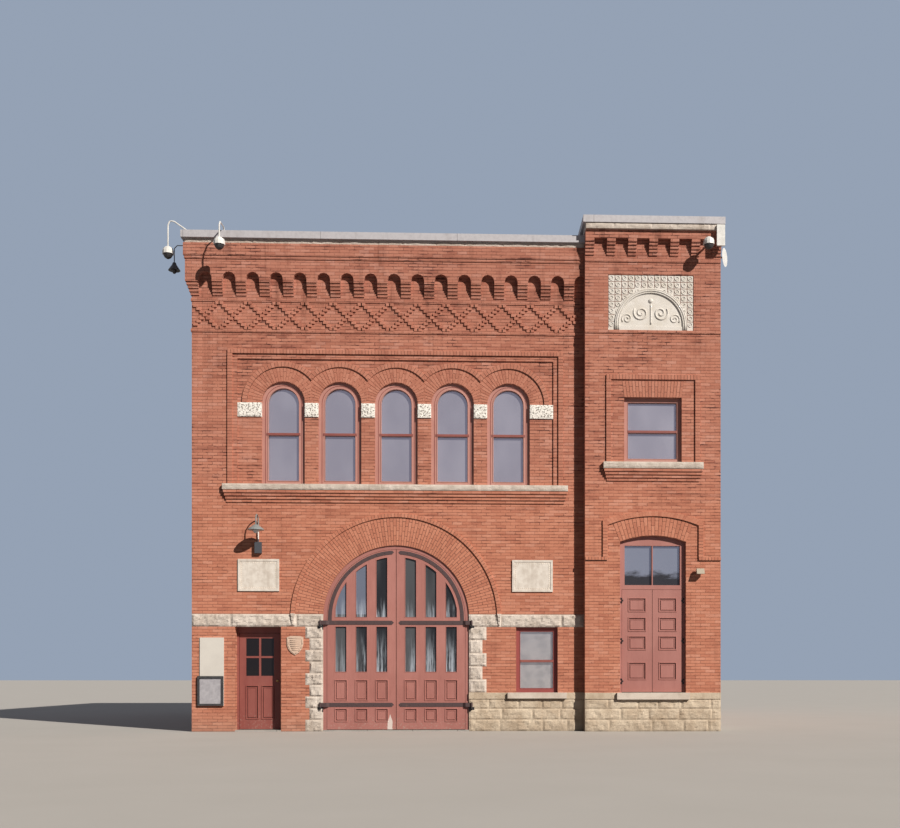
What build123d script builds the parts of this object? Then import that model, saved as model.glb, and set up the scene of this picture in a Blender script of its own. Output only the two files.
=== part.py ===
from build123d import *
import math
import os

# Fire station: two storeys of brick, a wide arched door for the engines and a
# square corner tower. Millimetres, X to the right along the front, Y into the
# building, Z up from the ground, origin in the middle of the main block.

# Brickwork
BRICK_COURSE = 68.5
LABEL_PROJECTION = 30

# Walls
DEPTH = 15000
FRONT_WALL = 400
SIDE_WALL = 330
TOWER_WIDTH = 3025
TOWER_DEPTH = 3240
TOWER_PROJECTION = 240

# Row of arched windows over the door, which sets the width of the main block
WINDOW_COUNT = 5
WINDOW_PITCH = 1249
WINDOW_RADIUS = 475
FIELD_SIDE = 527
FIELD_RECESS = 30
PANEL_BAND = 110
PANEL_LABEL_WIDTH = 105
PANEL_LABEL_RISE = 85
PANEL_MARGIN_LEFT = 783
PANEL_MARGIN_RIGHT = 468

# Heights, each from the level below it
BASE_HEIGHT = 860
BELT_BOTTOM = 2320
BELT_HEIGHT = 280
SPRING_UNDER_BELT_TOP = 90
SILL_RISE = 2870
WINDOW_RISE = 1810
MEETING_RISE = 1130
FIELD_RISE_OVER_SPRING = 970
CORNICE_RISE = 380
STRING_HEIGHT = 68.5
DIAPER_HEIGHT = 607
ARCADE_RISE = 62
ARCADE_HEIGHT = 347
ARCADE_COVER = 276
CORNICE_TOP_HEIGHT = 340
FRIEZE_HEIGHT = 103
COPING_HEIGHT = 155

# Floors and roof
FLOOR_TOP = 30
UPPER_FLOOR_UNDER_SILL = 770
FLOOR_THICKNESS = 250
ROOF_UNDER_PARAPET = 650
ROOF_FALL = 300
ROOF_THICKNESS = 200

# Cornice of the main block
CORNICE_STRING_PROJECTION = 18
ARCADE_STEP = 24
ARCADE_COURSES = 5
ARCADE_RADIUS = 145
ARCADE_PITCH = 518
ARCADE_END = 171
LEFT_ARCADE_COUNT = 4
CORNICE_TOP_PROJECTION = 155
FRIEZE_PROJECTION = 125
COPING_OVERHANG = 200
COPING_BACK_LIP = 30
PLAIN_OVERHANG = 60

# Ledge of the stone base
LEDGE_HEIGHT = 140
LEDGE_PROJECTION = 25

# Arched doorway for the engines
ARCH_RADIUS = 1616
ARCH_RING = 628
ARCH_LABEL_WIDTH = 86
QUOIN_HEIGHT = 270
QUOIN_LONG = 390
QUOIN_SHORT = 300

# Arched door leaves and their frame
ARCH_FRAME_WIDTH = 80
ARCH_FRAME_RECESS = 28
ARCH_FRAME_DEPTH = 120
ARCH_STOP_WIDTH = 40
ARCH_STOP_DEPTH = 50
LEAF_THICKNESS = 60
LEAF_RECESS = 20
LEAF_EDGE_CLEARANCE = 7
LEAF_STOP_CLEARANCE = 6
LEAF_MEETING_GAP = 12
LEAF_FLOOR_CLEARANCE = 12
LEAF_BEVEL = 12
LIGHT_WIDTH = 250
LIGHT_OFFSETS = (320, 770, 1225)
LOW_LIGHT_BOTTOM = 1316
LOW_LIGHT_HEIGHT = 1011
HIGH_LIGHT_RISE = 20
HIGH_LIGHT_INSET = 249
PANEL_WIDTH = 266
MID_PANEL_BOTTOM = 687
MID_PANEL_HEIGHT = 451
LOW_PANEL_BOTTOM = 218
LOW_PANEL_HEIGHT = 282
PANEL_DEPTH = 14
FIELD_MARGIN = 45
FIELD_RISE = 8
GLASS_THICKNESS = 6

# Strap hinges of the arched door
HINGE_SIDE_OFFSET = 60
HINGE_FACE_OFFSET = 50
STRAP_HEIGHT = 90
STRAP_THICKNESS = 8
LOW_STRAP_Z = 589
HIGH_STRAP_UNDER_SPRING = 97
STRAP_TIP_GAP = 50
STRAP_JOGGLE_LENGTH = 60
EYE_RADIUS = 22
PIN_RADIUS = 10
PIN_CLEARANCE = 0.5
EYE_SEAT_CLEARANCE = 0.3
BRACKET_HEIGHT = 110
BRACKET_WIDTH = 130
BRACKET_THICKNESS = 14
CURVED_STRAP_INSET = 189
CURVED_STRAP_WIDTH = 80

# Entry door
MIDDLE_PIER = 927
ENTRY_WIDTH = 1010
ENTRY_FRAME_WIDTH = 45
ENTRY_FRAME_DEPTH = 60
ENTRY_RECESS = 235
ENTRY_LEAF_SETBACK = 15
ENTRY_LEAF_THICKNESS = 45
ENTRY_EDGE_CLEARANCE = 7
ENTRY_FLOOR_CLEARANCE = 12
ENTRY_HEAD_PANEL = 130
ENTRY_LIGHT_BOTTOM = 1232
ENTRY_LIGHT_HEIGHT = 840
ENTRY_PANEL_BOTTOM = 270
ENTRY_PANEL_HEIGHT = 740
ENTRY_STILE = 145
ENTRY_MULLION = 80
ENTRY_BAR = 44
KNOB_RADIUS = 28
KNOB_BACKSET = 60
KNOB_Z = 1120
KNOB_SIDES = 10

# Butt hinges of the entry door and the tower door
HINGE_RADIUS = 8
HINGE_PIN_RADIUS = 4
HINGE_LENGTH = 120
HINGE_PLATE = 3
HINGE_WING = 34

# Ground floor window of the front
GROUND_WINDOW_FROM_TOWER = 1050
GROUND_WINDOW_WIDTH = 930
GROUND_WINDOW_MEETING_RISE = 705
GROUND_SILL_WIDTH = 1318

# Stone sills and imposts
SILL_HEIGHT = 130
SILL_PROJECTION = 90
SILL_DEPTH = 200
SILL_END = 105
SILL_CORBEL_COURSES = 4
SILL_CORBEL_STEP = 20
IMPOST_HEIGHT = 320
IMPOST_OVER_SPRING = 10
IMPOST_PROJECTION = 25
IMPOST_DEPTH = 150

# Arched window labels
WINDOW_RING = 325
WINDOW_LABEL_WIDTH = 105

# Sash windows in general
WINDOW_RECESS = 90
FRAME_WIDTH = 90
ARCHED_FRAME_WIDTH = 130
FRAME_DEPTH = 110
MEETING_RAIL = 48
BLIND_THICKNESS = 8

# Windows of the unseen sides
PLAIN_WINDOW_WIDTH = 930
PLAIN_BEARING = 150
SIDE_WINDOW_COUNT = 4
BACK_WINDOW_COUNT = 3
BACK_WINDOW_PITCH = 3600

# Tower, with heights from the levels of the main block
TOWER_RISE = 360
TOWER_COPING_HEIGHT = 155
TOWER_FRIEZE_DROP = 125
TOWER_FRIEZE_PROJECTION = 170
TOWER_ROOF_DROP = 540
TOWER_ROOF_THICKNESS = 150
TABLE_RECESS_COUNT = 6
TABLE_RECESS_PITCH = 470
TABLE_RECESS_WIDTH = 279
TABLE_RECESS_DROP = 310
TABLE_RECESS_HEIGHT = 350
TABLE_STRING_HEIGHT = 85
TABLE_STRING_GAP = 56
TABLE_PROJECTION = 110
PLAQUE_WIDTH = 1905
PLAQUE_HEIGHT = 1232
PLAQUE_THICKNESS = 60
PLAQUE_OFF_AXIS = 46
PLAQUE_RECESS = 15
LUNETTE_HALF = 810
LUNETTE_HEIGHT = 930
LUNETTE_RIM = 90
LUNETTE_RISE = 14
TOWER_WINDOW_WIDTH = 1285
TOWER_WINDOW_OVER_SILL_LEVEL = 495
TOWER_WINDOW_HEIGHT = 1440
TOWER_WINDOW_MEETING_RISE = 700
TOWER_WINDOW_LABEL_SIDE = 297
TOWER_WINDOW_LABEL_RISE = 500
TOWER_LABEL_WIDTH = 104
TOWER_SILL_END = 70
TOWER_SILL_HEIGHT = 145
TOWER_DOOR_WIDTH = 1470
TOWER_DOOR_SPRING_RISE = 3345
TOWER_DOOR_RISE = 138
TOWER_DOOR_HEAD_RISE = 2295
TOWER_TRANSOM_HEIGHT = 96
TOWER_GLASS_HEIGHT = 876
TOWER_FRAME_WIDTH = 50
TOWER_LIGHT_SIDE = 115
TOWER_LIGHT_POST = 24
TOWER_FRAME_DEPTH = 110
TOWER_DOOR_RECESS = 90
TOWER_LEAF_THICKNESS = 45
TOWER_LEAF_GAP = 10
TOWER_LEAF_CLEARANCE = 6
TOWER_AXIS_OUT = 9
TOWER_STILE = 145
TOWER_PANELS = ((279, 375), (941, 298), (1355, 298), (1790, 298))
TOWER_DOOR_SILL_END = 75
TOWER_DOOR_SILL_HEIGHT = 150
TOWER_DOOR_LABEL_SIDE = 281
TOWER_DOOR_LABEL_DROP = 410
TOWER_DOOR_LABEL_SHOULDER = 470
TOWER_DOOR_LABEL_RISE = 200

# Fittings on the front
TABLET_WIDTH = 905
TABLET_HEIGHT = 708
TABLET_THICKNESS = 30
TABLET_BORDER = 45
TABLET_OVER_BELT = 505
TABLET_FROM_AXIS = 3032
SHIELD_WIDTH = 361
SHIELD_HEIGHT = 420
SHIELD_BOTTOM = 1693
SHIELD_FROM_QUOIN = 43
SHIELD_THICKNESS = 20
NOTICE_FROM_DOOR = 240
NOTICE_WIDTH = 573
NOTICE_HEIGHT = 655
NOTICE_BOTTOM = 572
NOTICE_FRAME = 45
NOTICE_THICKNESS = 50
SLAB_WIDTH = 525
SLAB_HEIGHT = 850
SLAB_THICKNESS = 25
LAMP_OVER_TABLET = 955
LAMP_REACH = 330
LAMP_ARM_RADIUS = 14
LAMP_BEND = 120
LAMP_SHADE_RADIUS = 185
LAMP_SHADE_HEIGHT = 115
LAMP_GLOBE_RADIUS = 68
LAMP_BOX_WIDTH = 150
LAMP_BOX_HEIGHT = 245
LAMP_BOX_DEPTH = 90
LAMP_BOX_OVER_TABLET = 125
FLOOD_WIDTH = 170
FLOOD_HEIGHT = 120
FLOOD_FROM_CORNER = 480
FLOOD_OVER_HEAD = 330
CAMERA_RADIUS = 125
CAMERA_CAP_HEIGHT = 175
CAMERA_BOWL_HEIGHT = 100
CAMERA_ARM_RADIUS = 16
CAMERA_DROP = 563
CAMERA_RISE = 318
LEFT_CAMERA_REACH = 478
FRONT_CAMERA_REACH = 560
FRONT_CAMERA_FROM_CORNER = 742
FRONT_CAMERA_DROP = 80
TOWER_CAMERA_REACH = 250
TOWER_CAMERA_FROM_CORNER = 350
DISH_RADIUS = 205
DISH_THICKNESS = 30
DISH_TURN = 30
DISH_REACH = 110
DISH_FROM_FRONT = 190
PANEL_AERIAL_WIDTH = 180
PANEL_AERIAL_HEIGHT = 460
PANEL_AERIAL_THICKNESS = 60
SIDE_LAMP_RADIUS = 135
SIDE_LAMP_HEIGHT = 175
SIDE_LAMP_FROM_CAMERA = 40
SIDE_LAMP_BEHIND_CAMERA = 375
SIDE_LAMP_UNDER_CAMERA = 220

# Chords in a half circle, by the size of the circle
LARGE_CHORDS = 30
MEDIUM_CHORDS = 12
SMALL_CHORDS = 6
ROD_SIDES = 6

# Plan
PANEL_SIDE = PANEL_BAND + PANEL_LABEL_WIDTH
FIELD_HALF = WINDOW_PITCH * (WINDOW_COUNT - 1) / 2 + WINDOW_RADIUS + FIELD_SIDE
MAIN_WIDTH = PANEL_MARGIN_LEFT + 2 * (FIELD_HALF + PANEL_SIDE) + PANEL_MARGIN_RIGHT
WIDTH = MAIN_WIDTH + TOWER_WIDTH
LEFT = -WIDTH / 2
RIGHT = WIDTH / 2
FRONT = -DEPTH / 2
BACK = DEPTH / 2
INSIDE_LEFT = LEFT + SIDE_WALL
INSIDE_RIGHT = RIGHT - SIDE_WALL
INSIDE_FRONT = FRONT + FRONT_WALL
INSIDE_BACK = BACK - SIDE_WALL
TOWER_LEFT = RIGHT - TOWER_WIDTH
TOWER_X = RIGHT - TOWER_WIDTH / 2
PLAQUE_X = TOWER_X - PLAQUE_OFF_AXIS
TOWER_FRONT = FRONT - TOWER_PROJECTION
TOWER_INSIDE = TOWER_FRONT + FRONT_WALL
TOWER_BACK = TOWER_FRONT + TOWER_DEPTH
ARCH_X = LEFT + PANEL_MARGIN_LEFT + PANEL_SIDE + FIELD_HALF
ARCH_LEFT = ARCH_X - ARCH_RADIUS
ARCH_RIGHT = ARCH_X + ARCH_RADIUS
ENTRY_RIGHT = ARCH_LEFT - MIDDLE_PIER
ENTRY_LEFT = ENTRY_RIGHT - ENTRY_WIDTH
ENTRY_X = (ENTRY_LEFT + ENTRY_RIGHT) / 2
GROUND_WINDOW_X = TOWER_LEFT - GROUND_WINDOW_FROM_TOWER
WINDOW_XS = [ARCH_X + WINDOW_PITCH * (i - (WINDOW_COUNT - 1) / 2) for i in range(WINDOW_COUNT)]

# Levels
BELT_TOP = BELT_BOTTOM + BELT_HEIGHT
ARCH_SPRING = BELT_TOP - SPRING_UNDER_BELT_TOP
GROUND_WINDOW_BOTTOM = BASE_HEIGHT
GROUND_WINDOW_TOP = BELT_BOTTOM
GROUND_WINDOW_MEETING = GROUND_WINDOW_BOTTOM + GROUND_WINDOW_MEETING_RISE
WINDOW_BOTTOM = BELT_TOP + SILL_RISE
WINDOW_MEETING = WINDOW_BOTTOM + MEETING_RISE
WINDOW_SPRING = WINDOW_BOTTOM + WINDOW_RISE
SILL_BOTTOM = WINDOW_BOTTOM - SILL_HEIGHT
IMPOST_TOP = WINDOW_SPRING + IMPOST_OVER_SPRING
IMPOST_BOTTOM = IMPOST_TOP - IMPOST_HEIGHT
FIELD_TOP = WINDOW_SPRING + FIELD_RISE_OVER_SPRING
PANEL_LABEL_TOP = FIELD_TOP + PANEL_BAND + PANEL_LABEL_RISE
CORNICE_BOTTOM = PANEL_LABEL_TOP + CORNICE_RISE
DIAPER_BOTTOM = CORNICE_BOTTOM + STRING_HEIGHT
DIAPER_TOP = DIAPER_BOTTOM + DIAPER_HEIGHT
ARCADE_BOTTOM = DIAPER_TOP + STRING_HEIGHT + ARCADE_RISE
ARCADE_SPRING = ARCADE_BOTTOM + ARCADE_HEIGHT
ARCADE_TOP = ARCADE_SPRING + ARCADE_RADIUS + ARCADE_COVER
FRIEZE_BOTTOM = ARCADE_TOP + CORNICE_TOP_HEIGHT
PARAPET_TOP = FRIEZE_BOTTOM + FRIEZE_HEIGHT
TOWER_TOP = PARAPET_TOP + TOWER_RISE
UPPER_FLOOR_TOP = WINDOW_BOTTOM - UPPER_FLOOR_UNDER_SILL
PLAIN_UPPER_TOP = WINDOW_SPRING
ROOF_FRONT = PARAPET_TOP - ROOF_UNDER_PARAPET
ROOF_BACK = ROOF_FRONT - ROOF_FALL
TOWER_ROOF_TOP = TOWER_TOP - TOWER_ROOF_DROP
TOWER_FRIEZE_BOTTOM = TOWER_TOP - TOWER_FRIEZE_DROP
TABLE_RECESS_TOP = TOWER_TOP - TABLE_RECESS_DROP
TABLE_RECESS_BOTTOM = TABLE_RECESS_TOP - TABLE_RECESS_HEIGHT
TABLE_BOTTOM = TABLE_RECESS_BOTTOM - TABLE_STRING_GAP - TABLE_STRING_HEIGHT
PLAQUE_BOTTOM = DIAPER_BOTTOM
PLAQUE_TOP = PLAQUE_BOTTOM + PLAQUE_HEIGHT
TOWER_WINDOW_BOTTOM = WINDOW_BOTTOM + TOWER_WINDOW_OVER_SILL_LEVEL
TOWER_WINDOW_TOP = TOWER_WINDOW_BOTTOM + TOWER_WINDOW_HEIGHT
TOWER_WINDOW_MEETING = TOWER_WINDOW_BOTTOM + TOWER_WINDOW_MEETING_RISE
TOWER_WALL_SPLIT = SILL_BOTTOM
TOWER_DOOR_SPRING = BASE_HEIGHT + TOWER_DOOR_SPRING_RISE
TOWER_DOOR_HEAD = BASE_HEIGHT + TOWER_DOOR_HEAD_RISE
TOWER_LIGHT_BOTTOM = TOWER_DOOR_HEAD + TOWER_TRANSOM_HEIGHT
TOWER_LIGHT_TOP = TOWER_LIGHT_BOTTOM + TOWER_GLASS_HEIGHT
PLAIN_STOREYS = ((GROUND_WINDOW_BOTTOM, GROUND_WINDOW_TOP), (WINDOW_BOTTOM, PLAIN_UPPER_TOP))

# Faces of the doors
LEAF_FACE = FRONT + LEAF_RECESS
LEAF_BACK = LEAF_FACE + LEAF_THICKNESS
LEAF_RADIUS = ARCH_RADIUS - ARCH_FRAME_WIDTH - LEAF_EDGE_CLEARANCE
HIGH_STRAP_Z = ARCH_SPRING - HIGH_STRAP_UNDER_SPRING
HIGH_LIGHT_BOTTOM = ARCH_SPRING + HIGH_LIGHT_RISE
HIGH_LIGHT_RADIUS = ARCH_RADIUS - HIGH_LIGHT_INSET
CURVED_STRAP_RADIUS = ARCH_RADIUS - CURVED_STRAP_INSET
HINGE_Y = FRONT - HINGE_FACE_OFFSET
ENTRY_FACE = FRONT + ENTRY_RECESS + ENTRY_LEAF_SETBACK
ENTRY_BACK = ENTRY_FACE + ENTRY_LEAF_THICKNESS
TOWER_FACE = TOWER_FRONT + TOWER_DOOR_RECESS
TABLET_BOTTOM = BELT_TOP + TABLET_OVER_BELT
LEFT_TABLET_X = ARCH_X - TABLET_FROM_AXIS
RIGHT_TABLET_X = ARCH_X + TABLET_FROM_AXIS


def box(x0, x1, y0, y1, z0, z1):
    """A block between two corners."""
    corner = (Align.MIN, Align.MIN, Align.MIN)
    return Pos(x0, y0, z0) * Box(x1 - x0, y1 - y0, z1 - z0, align=corner)


def rect(x0, x1, z0, z1):
    """A rectangle on an elevation drawing."""
    return Pos((x0 + x1) / 2, (z0 + z1) / 2) * Rectangle(x1 - x0, z1 - z0)


def round_head(x, radius, bottom, spring, chords):
    """An opening with a half-round head."""
    return outline([(x - radius, bottom), (x + radius, bottom)] + arc_points(x, spring, radius, chords))


def segment_head(x, half, bottom, spring, rise):
    """An opening whose head is a flat arc."""
    radius = (half * half + rise * rise) / (2 * rise)
    lean = math.degrees(math.asin(half / radius))
    head = arc_points(x, spring + rise - radius, radius, SMALL_CHORDS, 90 - lean, 90 + lean)
    return outline([(x - half, bottom), (x + half, bottom)] + head)


def facing(drawing, front, back):
    """Give a front elevation its depth, from y = front to y = back."""
    return extrude(Plane.XZ.offset(-back) * drawing, amount=back - front)


def sideways(drawing, x0, x1):
    """Give a side elevation its width, from x = x0 to x = x1."""
    return extrude(Plane.YZ.offset(x0) * drawing, amount=x1 - x0)


def arc_points(x, z, radius, chords, first=0, last=180):
    """Corners of an arc drawn as straight chords, between two angles in degrees."""
    step = (last - first) / chords
    angles = [math.radians(first + step * i) for i in range(chords + 1)]
    return [(x + radius * math.cos(a), z + radius * math.sin(a)) for a in angles]


def outline(points):
    """A flat face from its corners."""
    return make_face(Polyline(*points, close=True))


def half_ring(x, z, inner, outer, chords, first=0, last=180):
    """A band between two arcs with the same centre."""
    outside = arc_points(x, z, outer, chords, first, last)
    inside = arc_points(x, z, inner, chords, first, last)
    return outline(outside + inside[::-1])


def prism(x, y, z, radius, height, sides, flats=False):
    """An upright bar with flat sides; with flats the radius is to the flats."""
    section = RegularPolygon(radius, sides, major_radius=not flats)
    return extrude(Plane((x, y, z)) * section, amount=height)


def skin(rings):
    """A solid with flat faces between rings of corners."""
    faces = [Face(Wire.make_polygon(ring)) for ring in (rings[0], rings[-1])]
    for low, high in zip(rings, rings[1:]):
        for i in range(len(low)):
            faces.append(Face(Wire.make_polygon([low[i - 1], low[i], high[i], high[i - 1]])))
    return Solid(Shell(faces))


def tube(points, radius):
    """A bent rod along straight runs, mitred at each bend."""
    spots = [Vector(*point) for point in points]
    ways = [(after - before).normalized() for before, after in zip(spots, spots[1:])]
    start = Plane(origin=spots[0], z_dir=ways[0])
    angles = [2 * math.pi * i / ROD_SIDES for i in range(ROD_SIDES)]
    rings = [[spots[0] + start.x_dir * radius * math.cos(a) + start.y_dir * radius * math.sin(a) for a in angles]]
    for spot, way, ahead in zip(spots[1:], ways, ways[1:] + ways[-1:]):
        mitre = (way + ahead).normalized()
        rings.append([corner + way * ((spot - corner).dot(mitre) / way.dot(mitre)) for corner in rings[-1]])
    return skin(rings)


def turned(x, y, rings, sides):
    """A turned shape from rings of (height, radius), with flat sides."""
    angles = [2 * math.pi * i / sides for i in range(sides)]
    return skin([[Vector(x + r * math.cos(a), y + r * math.sin(a), z) for a in angles] for z, r in rings])


def group(pieces):
    """Like pieces that share a node without touching."""
    return Compound(children=[solid for piece in pieces for solid in piece.solids()])


def write(name, shape):
    export_step(shape, f"parts/{name}.step")


def roof_top(y):
    """Height of the roof's upper face, which falls to the back."""
    share = (y - INSIDE_FRONT) / (INSIDE_BACK - INSIDE_FRONT)
    return ROOF_FRONT + share * (ROOF_BACK - ROOF_FRONT)


# Places of the plain windows on the unseen sides

def left_places():
    pitch = DEPTH / SIDE_WINDOW_COUNT
    return [Pos(LEFT, FRONT + pitch * (i + 0.5), 0) * Rot(0, 0, -90) for i in range(SIDE_WINDOW_COUNT)]


def right_places():
    pitch = DEPTH / SIDE_WINDOW_COUNT
    return [Pos(RIGHT, FRONT + pitch * (i + 0.5), 0) * Rot(0, 0, 90) for i in range(SIDE_WINDOW_COUNT)]


def back_places():
    middle = (BACK_WINDOW_COUNT - 1) / 2
    return [Pos(BACK_WINDOW_PITCH * (i - middle), BACK, 0) * Rot(0, 0, 180) for i in range(BACK_WINDOW_COUNT)]


# Windows, drawn facing the viewer with the wall's face at y = 0

def sash_frame(half, bottom, top, meeting, recess):
    """Box frame with two sashes, one over the other, in a square opening."""
    outline = rect(-half, half, bottom, top)
    inner = half - FRAME_WIDTH
    low = rect(-inner, inner, bottom + FRAME_WIDTH, meeting - MEETING_RAIL / 2)
    high = rect(-inner, inner, meeting + MEETING_RAIL / 2, top - FRAME_WIDTH)
    return facing(outline - low - high, recess, recess + FRAME_DEPTH)


def sash_glass(half, bottom, top, meeting, recess):
    inner = half - FRAME_WIDTH
    middle = recess + FRAME_DEPTH / 2
    low = rect(-inner, inner, bottom + FRAME_WIDTH, meeting - MEETING_RAIL / 2)
    high = rect(-inner, inner, meeting + MEETING_RAIL / 2, top - FRAME_WIDTH)
    sheets = [facing(low, middle, middle + GLASS_THICKNESS), facing(high, middle, middle + GLASS_THICKNESS)]
    return sheets


def sash_blind(half, bottom, top, recess):
    """A roller blind that hangs against the back of the frame."""
    back = recess + FRAME_DEPTH
    return box(-half, half, back, back + BLIND_THICKNESS, bottom + FRAME_WIDTH, top)


def plain_openings(wall):
    """Openings of one plain window on both storeys."""
    half = PLAIN_WINDOW_WIDTH / 2
    return [box(-half, half, 0, wall, low, high) for low, high in PLAIN_STOREYS]


def plain_sills():
    half = PLAIN_WINDOW_WIDTH / 2 + PLAIN_BEARING
    return [box(-half, half, -SILL_PROJECTION, SILL_DEPTH, low - SILL_HEIGHT, low) for low, high in PLAIN_STOREYS]


def place_all(places, pieces):
    return [place * piece for place in places for piece in pieces]


def plain_meeting(low, high):
    return (low + high) / 2


def plain_frames():
    half = PLAIN_WINDOW_WIDTH / 2
    return [sash_frame(half, low, high, plain_meeting(low, high), WINDOW_RECESS) for low, high in PLAIN_STOREYS]


def plain_glass():
    half = PLAIN_WINDOW_WIDTH / 2
    sheets = []
    for low, high in PLAIN_STOREYS:
        sheets += sash_glass(half, low, high, plain_meeting(low, high), WINDOW_RECESS)
    return sheets


# Walls of the main block

def quoins():
    """Jamb stones of the arched doorway, long and short in turn."""
    stones = []
    for side, foot in ((-1, 0), (1, BASE_HEIGHT)):
        count = round((BELT_BOTTOM - foot) / QUOIN_HEIGHT)
        height = (BELT_BOTTOM - foot) / count
        edge = ARCH_X + side * ARCH_RADIUS
        pile = None
        for i in range(count):
            reach = QUOIN_LONG if (count - 1 - i) % 2 == 0 else QUOIN_SHORT
            x0, x1 = sorted((edge, edge + side * reach))
            stone = box(x0, x1, FRONT, INSIDE_FRONT, foot + i * height, foot + (i + 1) * height)
            pile = stone if pile is None else pile + stone
        stones.append(pile)
    return stones


def ground_window_opening():
    half = GROUND_WINDOW_WIDTH / 2
    x = GROUND_WINDOW_X
    return box(x - half, x + half, FRONT, INSIDE_FRONT, BASE_HEIGHT, GROUND_WINDOW_TOP)


def ground_sill():
    half = GROUND_SILL_WIDTH / 2
    low = GROUND_WINDOW_BOTTOM - SILL_HEIGHT
    x = GROUND_WINDOW_X
    return box(x - half, x + half, FRONT - SILL_PROJECTION, FRONT + SILL_DEPTH, low, GROUND_WINDOW_BOTTOM)


def ground_walls():
    """Brick piers of the ground floor, on both sides of the doorways."""
    left_stones, right_stones = quoins()
    left = box(LEFT, ENTRY_LEFT, FRONT, INSIDE_FRONT, 0, BELT_BOTTOM)
    middle = box(ENTRY_RIGHT, ARCH_LEFT, FRONT, INSIDE_FRONT, 0, BELT_BOTTOM) - left_stones
    right = box(ARCH_RIGHT, TOWER_LEFT, FRONT, INSIDE_FRONT, BASE_HEIGHT, BELT_BOTTOM)
    right = right - right_stones - ground_window_opening() - ground_sill()
    return left, middle, right


def belt_stones():
    arch = facing(round_head(ARCH_X, ARCH_RADIUS, 0, ARCH_SPRING, LARGE_CHORDS), FRONT, INSIDE_FRONT)
    course = box(LEFT, TOWER_LEFT, FRONT, INSIDE_FRONT, BELT_BOTTOM, BELT_TOP) - arch
    return course.solids()


def main_sill():
    half = main_sill_half()
    return box(ARCH_X - half, ARCH_X + half, FRONT - SILL_PROJECTION, FRONT + SILL_DEPTH, SILL_BOTTOM, WINDOW_BOTTOM)


def arch_wall():
    """Brickwork over the arched doorway, with the corbelled courses under the sill."""
    wall = box(LEFT, TOWER_LEFT, FRONT, INSIDE_FRONT, BELT_TOP, SILL_BOTTOM)
    wall = wall - facing(round_head(ARCH_X, ARCH_RADIUS, 0, ARCH_SPRING, LARGE_CHORDS), FRONT, INSIDE_FRONT)
    half = main_sill_half()
    for i in range(SILL_CORBEL_COURSES):
        top = SILL_BOTTOM - i * BRICK_COURSE
        step = SILL_CORBEL_STEP * (SILL_CORBEL_COURSES - i)
        inset = SILL_CORBEL_STEP * (i + 1)
        x0 = ARCH_X - half + inset
        x1 = ARCH_X + half - inset
        wall = wall + box(x0, x1, FRONT - step, FRONT + step, top - BRICK_COURSE, top)
    return wall


def impost_stones():
    """Carved stones at the springing of the arched windows."""
    face = FRONT + FIELD_RECESS - IMPOST_PROJECTION
    back = face + IMPOST_DEPTH
    edges = [ARCH_X - FIELD_HALF]
    for x in WINDOW_XS:
        edges += [x - WINDOW_RADIUS, x + WINDOW_RADIUS]
    edges.append(ARCH_X + FIELD_HALF)
    return [
        box(edges[i], edges[i + 1], face, back, IMPOST_BOTTOM, IMPOST_TOP - IMPOST_OVER_SPRING)
        for i in range(0, len(edges), 2)
    ]


def upper_front_wall():
    wall = box(LEFT, TOWER_LEFT, FRONT, INSIDE_FRONT, SILL_BOTTOM, CORNICE_BOTTOM)
    half = FIELD_HALF
    pocket = box(ARCH_X - half, ARCH_X + half, FRONT, FRONT + FIELD_RECESS, WINDOW_BOTTOM, FIELD_TOP)
    wall = wall - pocket - main_sill()
    for x in WINDOW_XS:
        hole = round_head(x, WINDOW_RADIUS, WINDOW_BOTTOM, WINDOW_SPRING, MEDIUM_CHORDS)
        wall = wall - facing(hole, FRONT, INSIDE_FRONT)
    for stone in impost_stones():
        wall = wall - stone
    return wall


def side_wall(inner, outer, y0, y1, foot, places, top):
    wall = box(min(inner, outer), max(inner, outer), y0, y1, foot, top)
    for piece in place_all(places, plain_openings(SIDE_WALL) + plain_sills()):
        wall = wall - piece
    return wall


def left_wall():
    return side_wall(INSIDE_LEFT, LEFT, INSIDE_FRONT, INSIDE_BACK, 0, left_places(), FRIEZE_BOTTOM)


def right_wall():
    wall = side_wall(INSIDE_RIGHT, RIGHT, TOWER_INSIDE, INSIDE_BACK, BASE_HEIGHT, right_places(), PARAPET_TOP)
    return wall + box(INSIDE_RIGHT, RIGHT, TOWER_INSIDE, TOWER_BACK, PARAPET_TOP, TOWER_TOP)


def right_base():
    base = box(INSIDE_RIGHT, RIGHT, TOWER_INSIDE, INSIDE_BACK, 0, BASE_HEIGHT)
    for piece in place_all(right_places(), plain_sills()):
        base = base - piece
    return base


def back_wall():
    wall = box(LEFT, RIGHT, INSIDE_BACK, BACK, 0, PARAPET_TOP)
    for piece in place_all(back_places(), plain_openings(SIDE_WALL) + plain_sills()):
        wall = wall - piece
    return wall


# Floors and roofs

def ground_floor():
    floor = box(INSIDE_LEFT, INSIDE_RIGHT, INSIDE_FRONT, INSIDE_BACK, 0, FLOOR_TOP)
    floor = floor + box(ARCH_LEFT, ARCH_RIGHT, FRONT, INSIDE_FRONT, 0, FLOOR_TOP)
    floor = floor + box(ENTRY_LEFT, ENTRY_RIGHT, FRONT, INSIDE_FRONT, 0, FLOOR_TOP)
    return floor - box(TOWER_LEFT, INSIDE_RIGHT, TOWER_INSIDE, TOWER_BACK, 0, FLOOR_TOP)


def tower_floor():
    """Raised floor behind the tower door, on low walls of its own."""
    low = FLOOR_THICKNESS
    floor = box(TOWER_LEFT, INSIDE_RIGHT, TOWER_INSIDE, TOWER_BACK, 0, BASE_HEIGHT)
    wall = SIDE_WALL
    y0 = TOWER_INSIDE + wall
    y1 = TOWER_BACK - wall
    space = box(TOWER_LEFT + wall, INSIDE_RIGHT - wall, y0, y1, 0, BASE_HEIGHT - low)
    return floor - space


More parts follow.
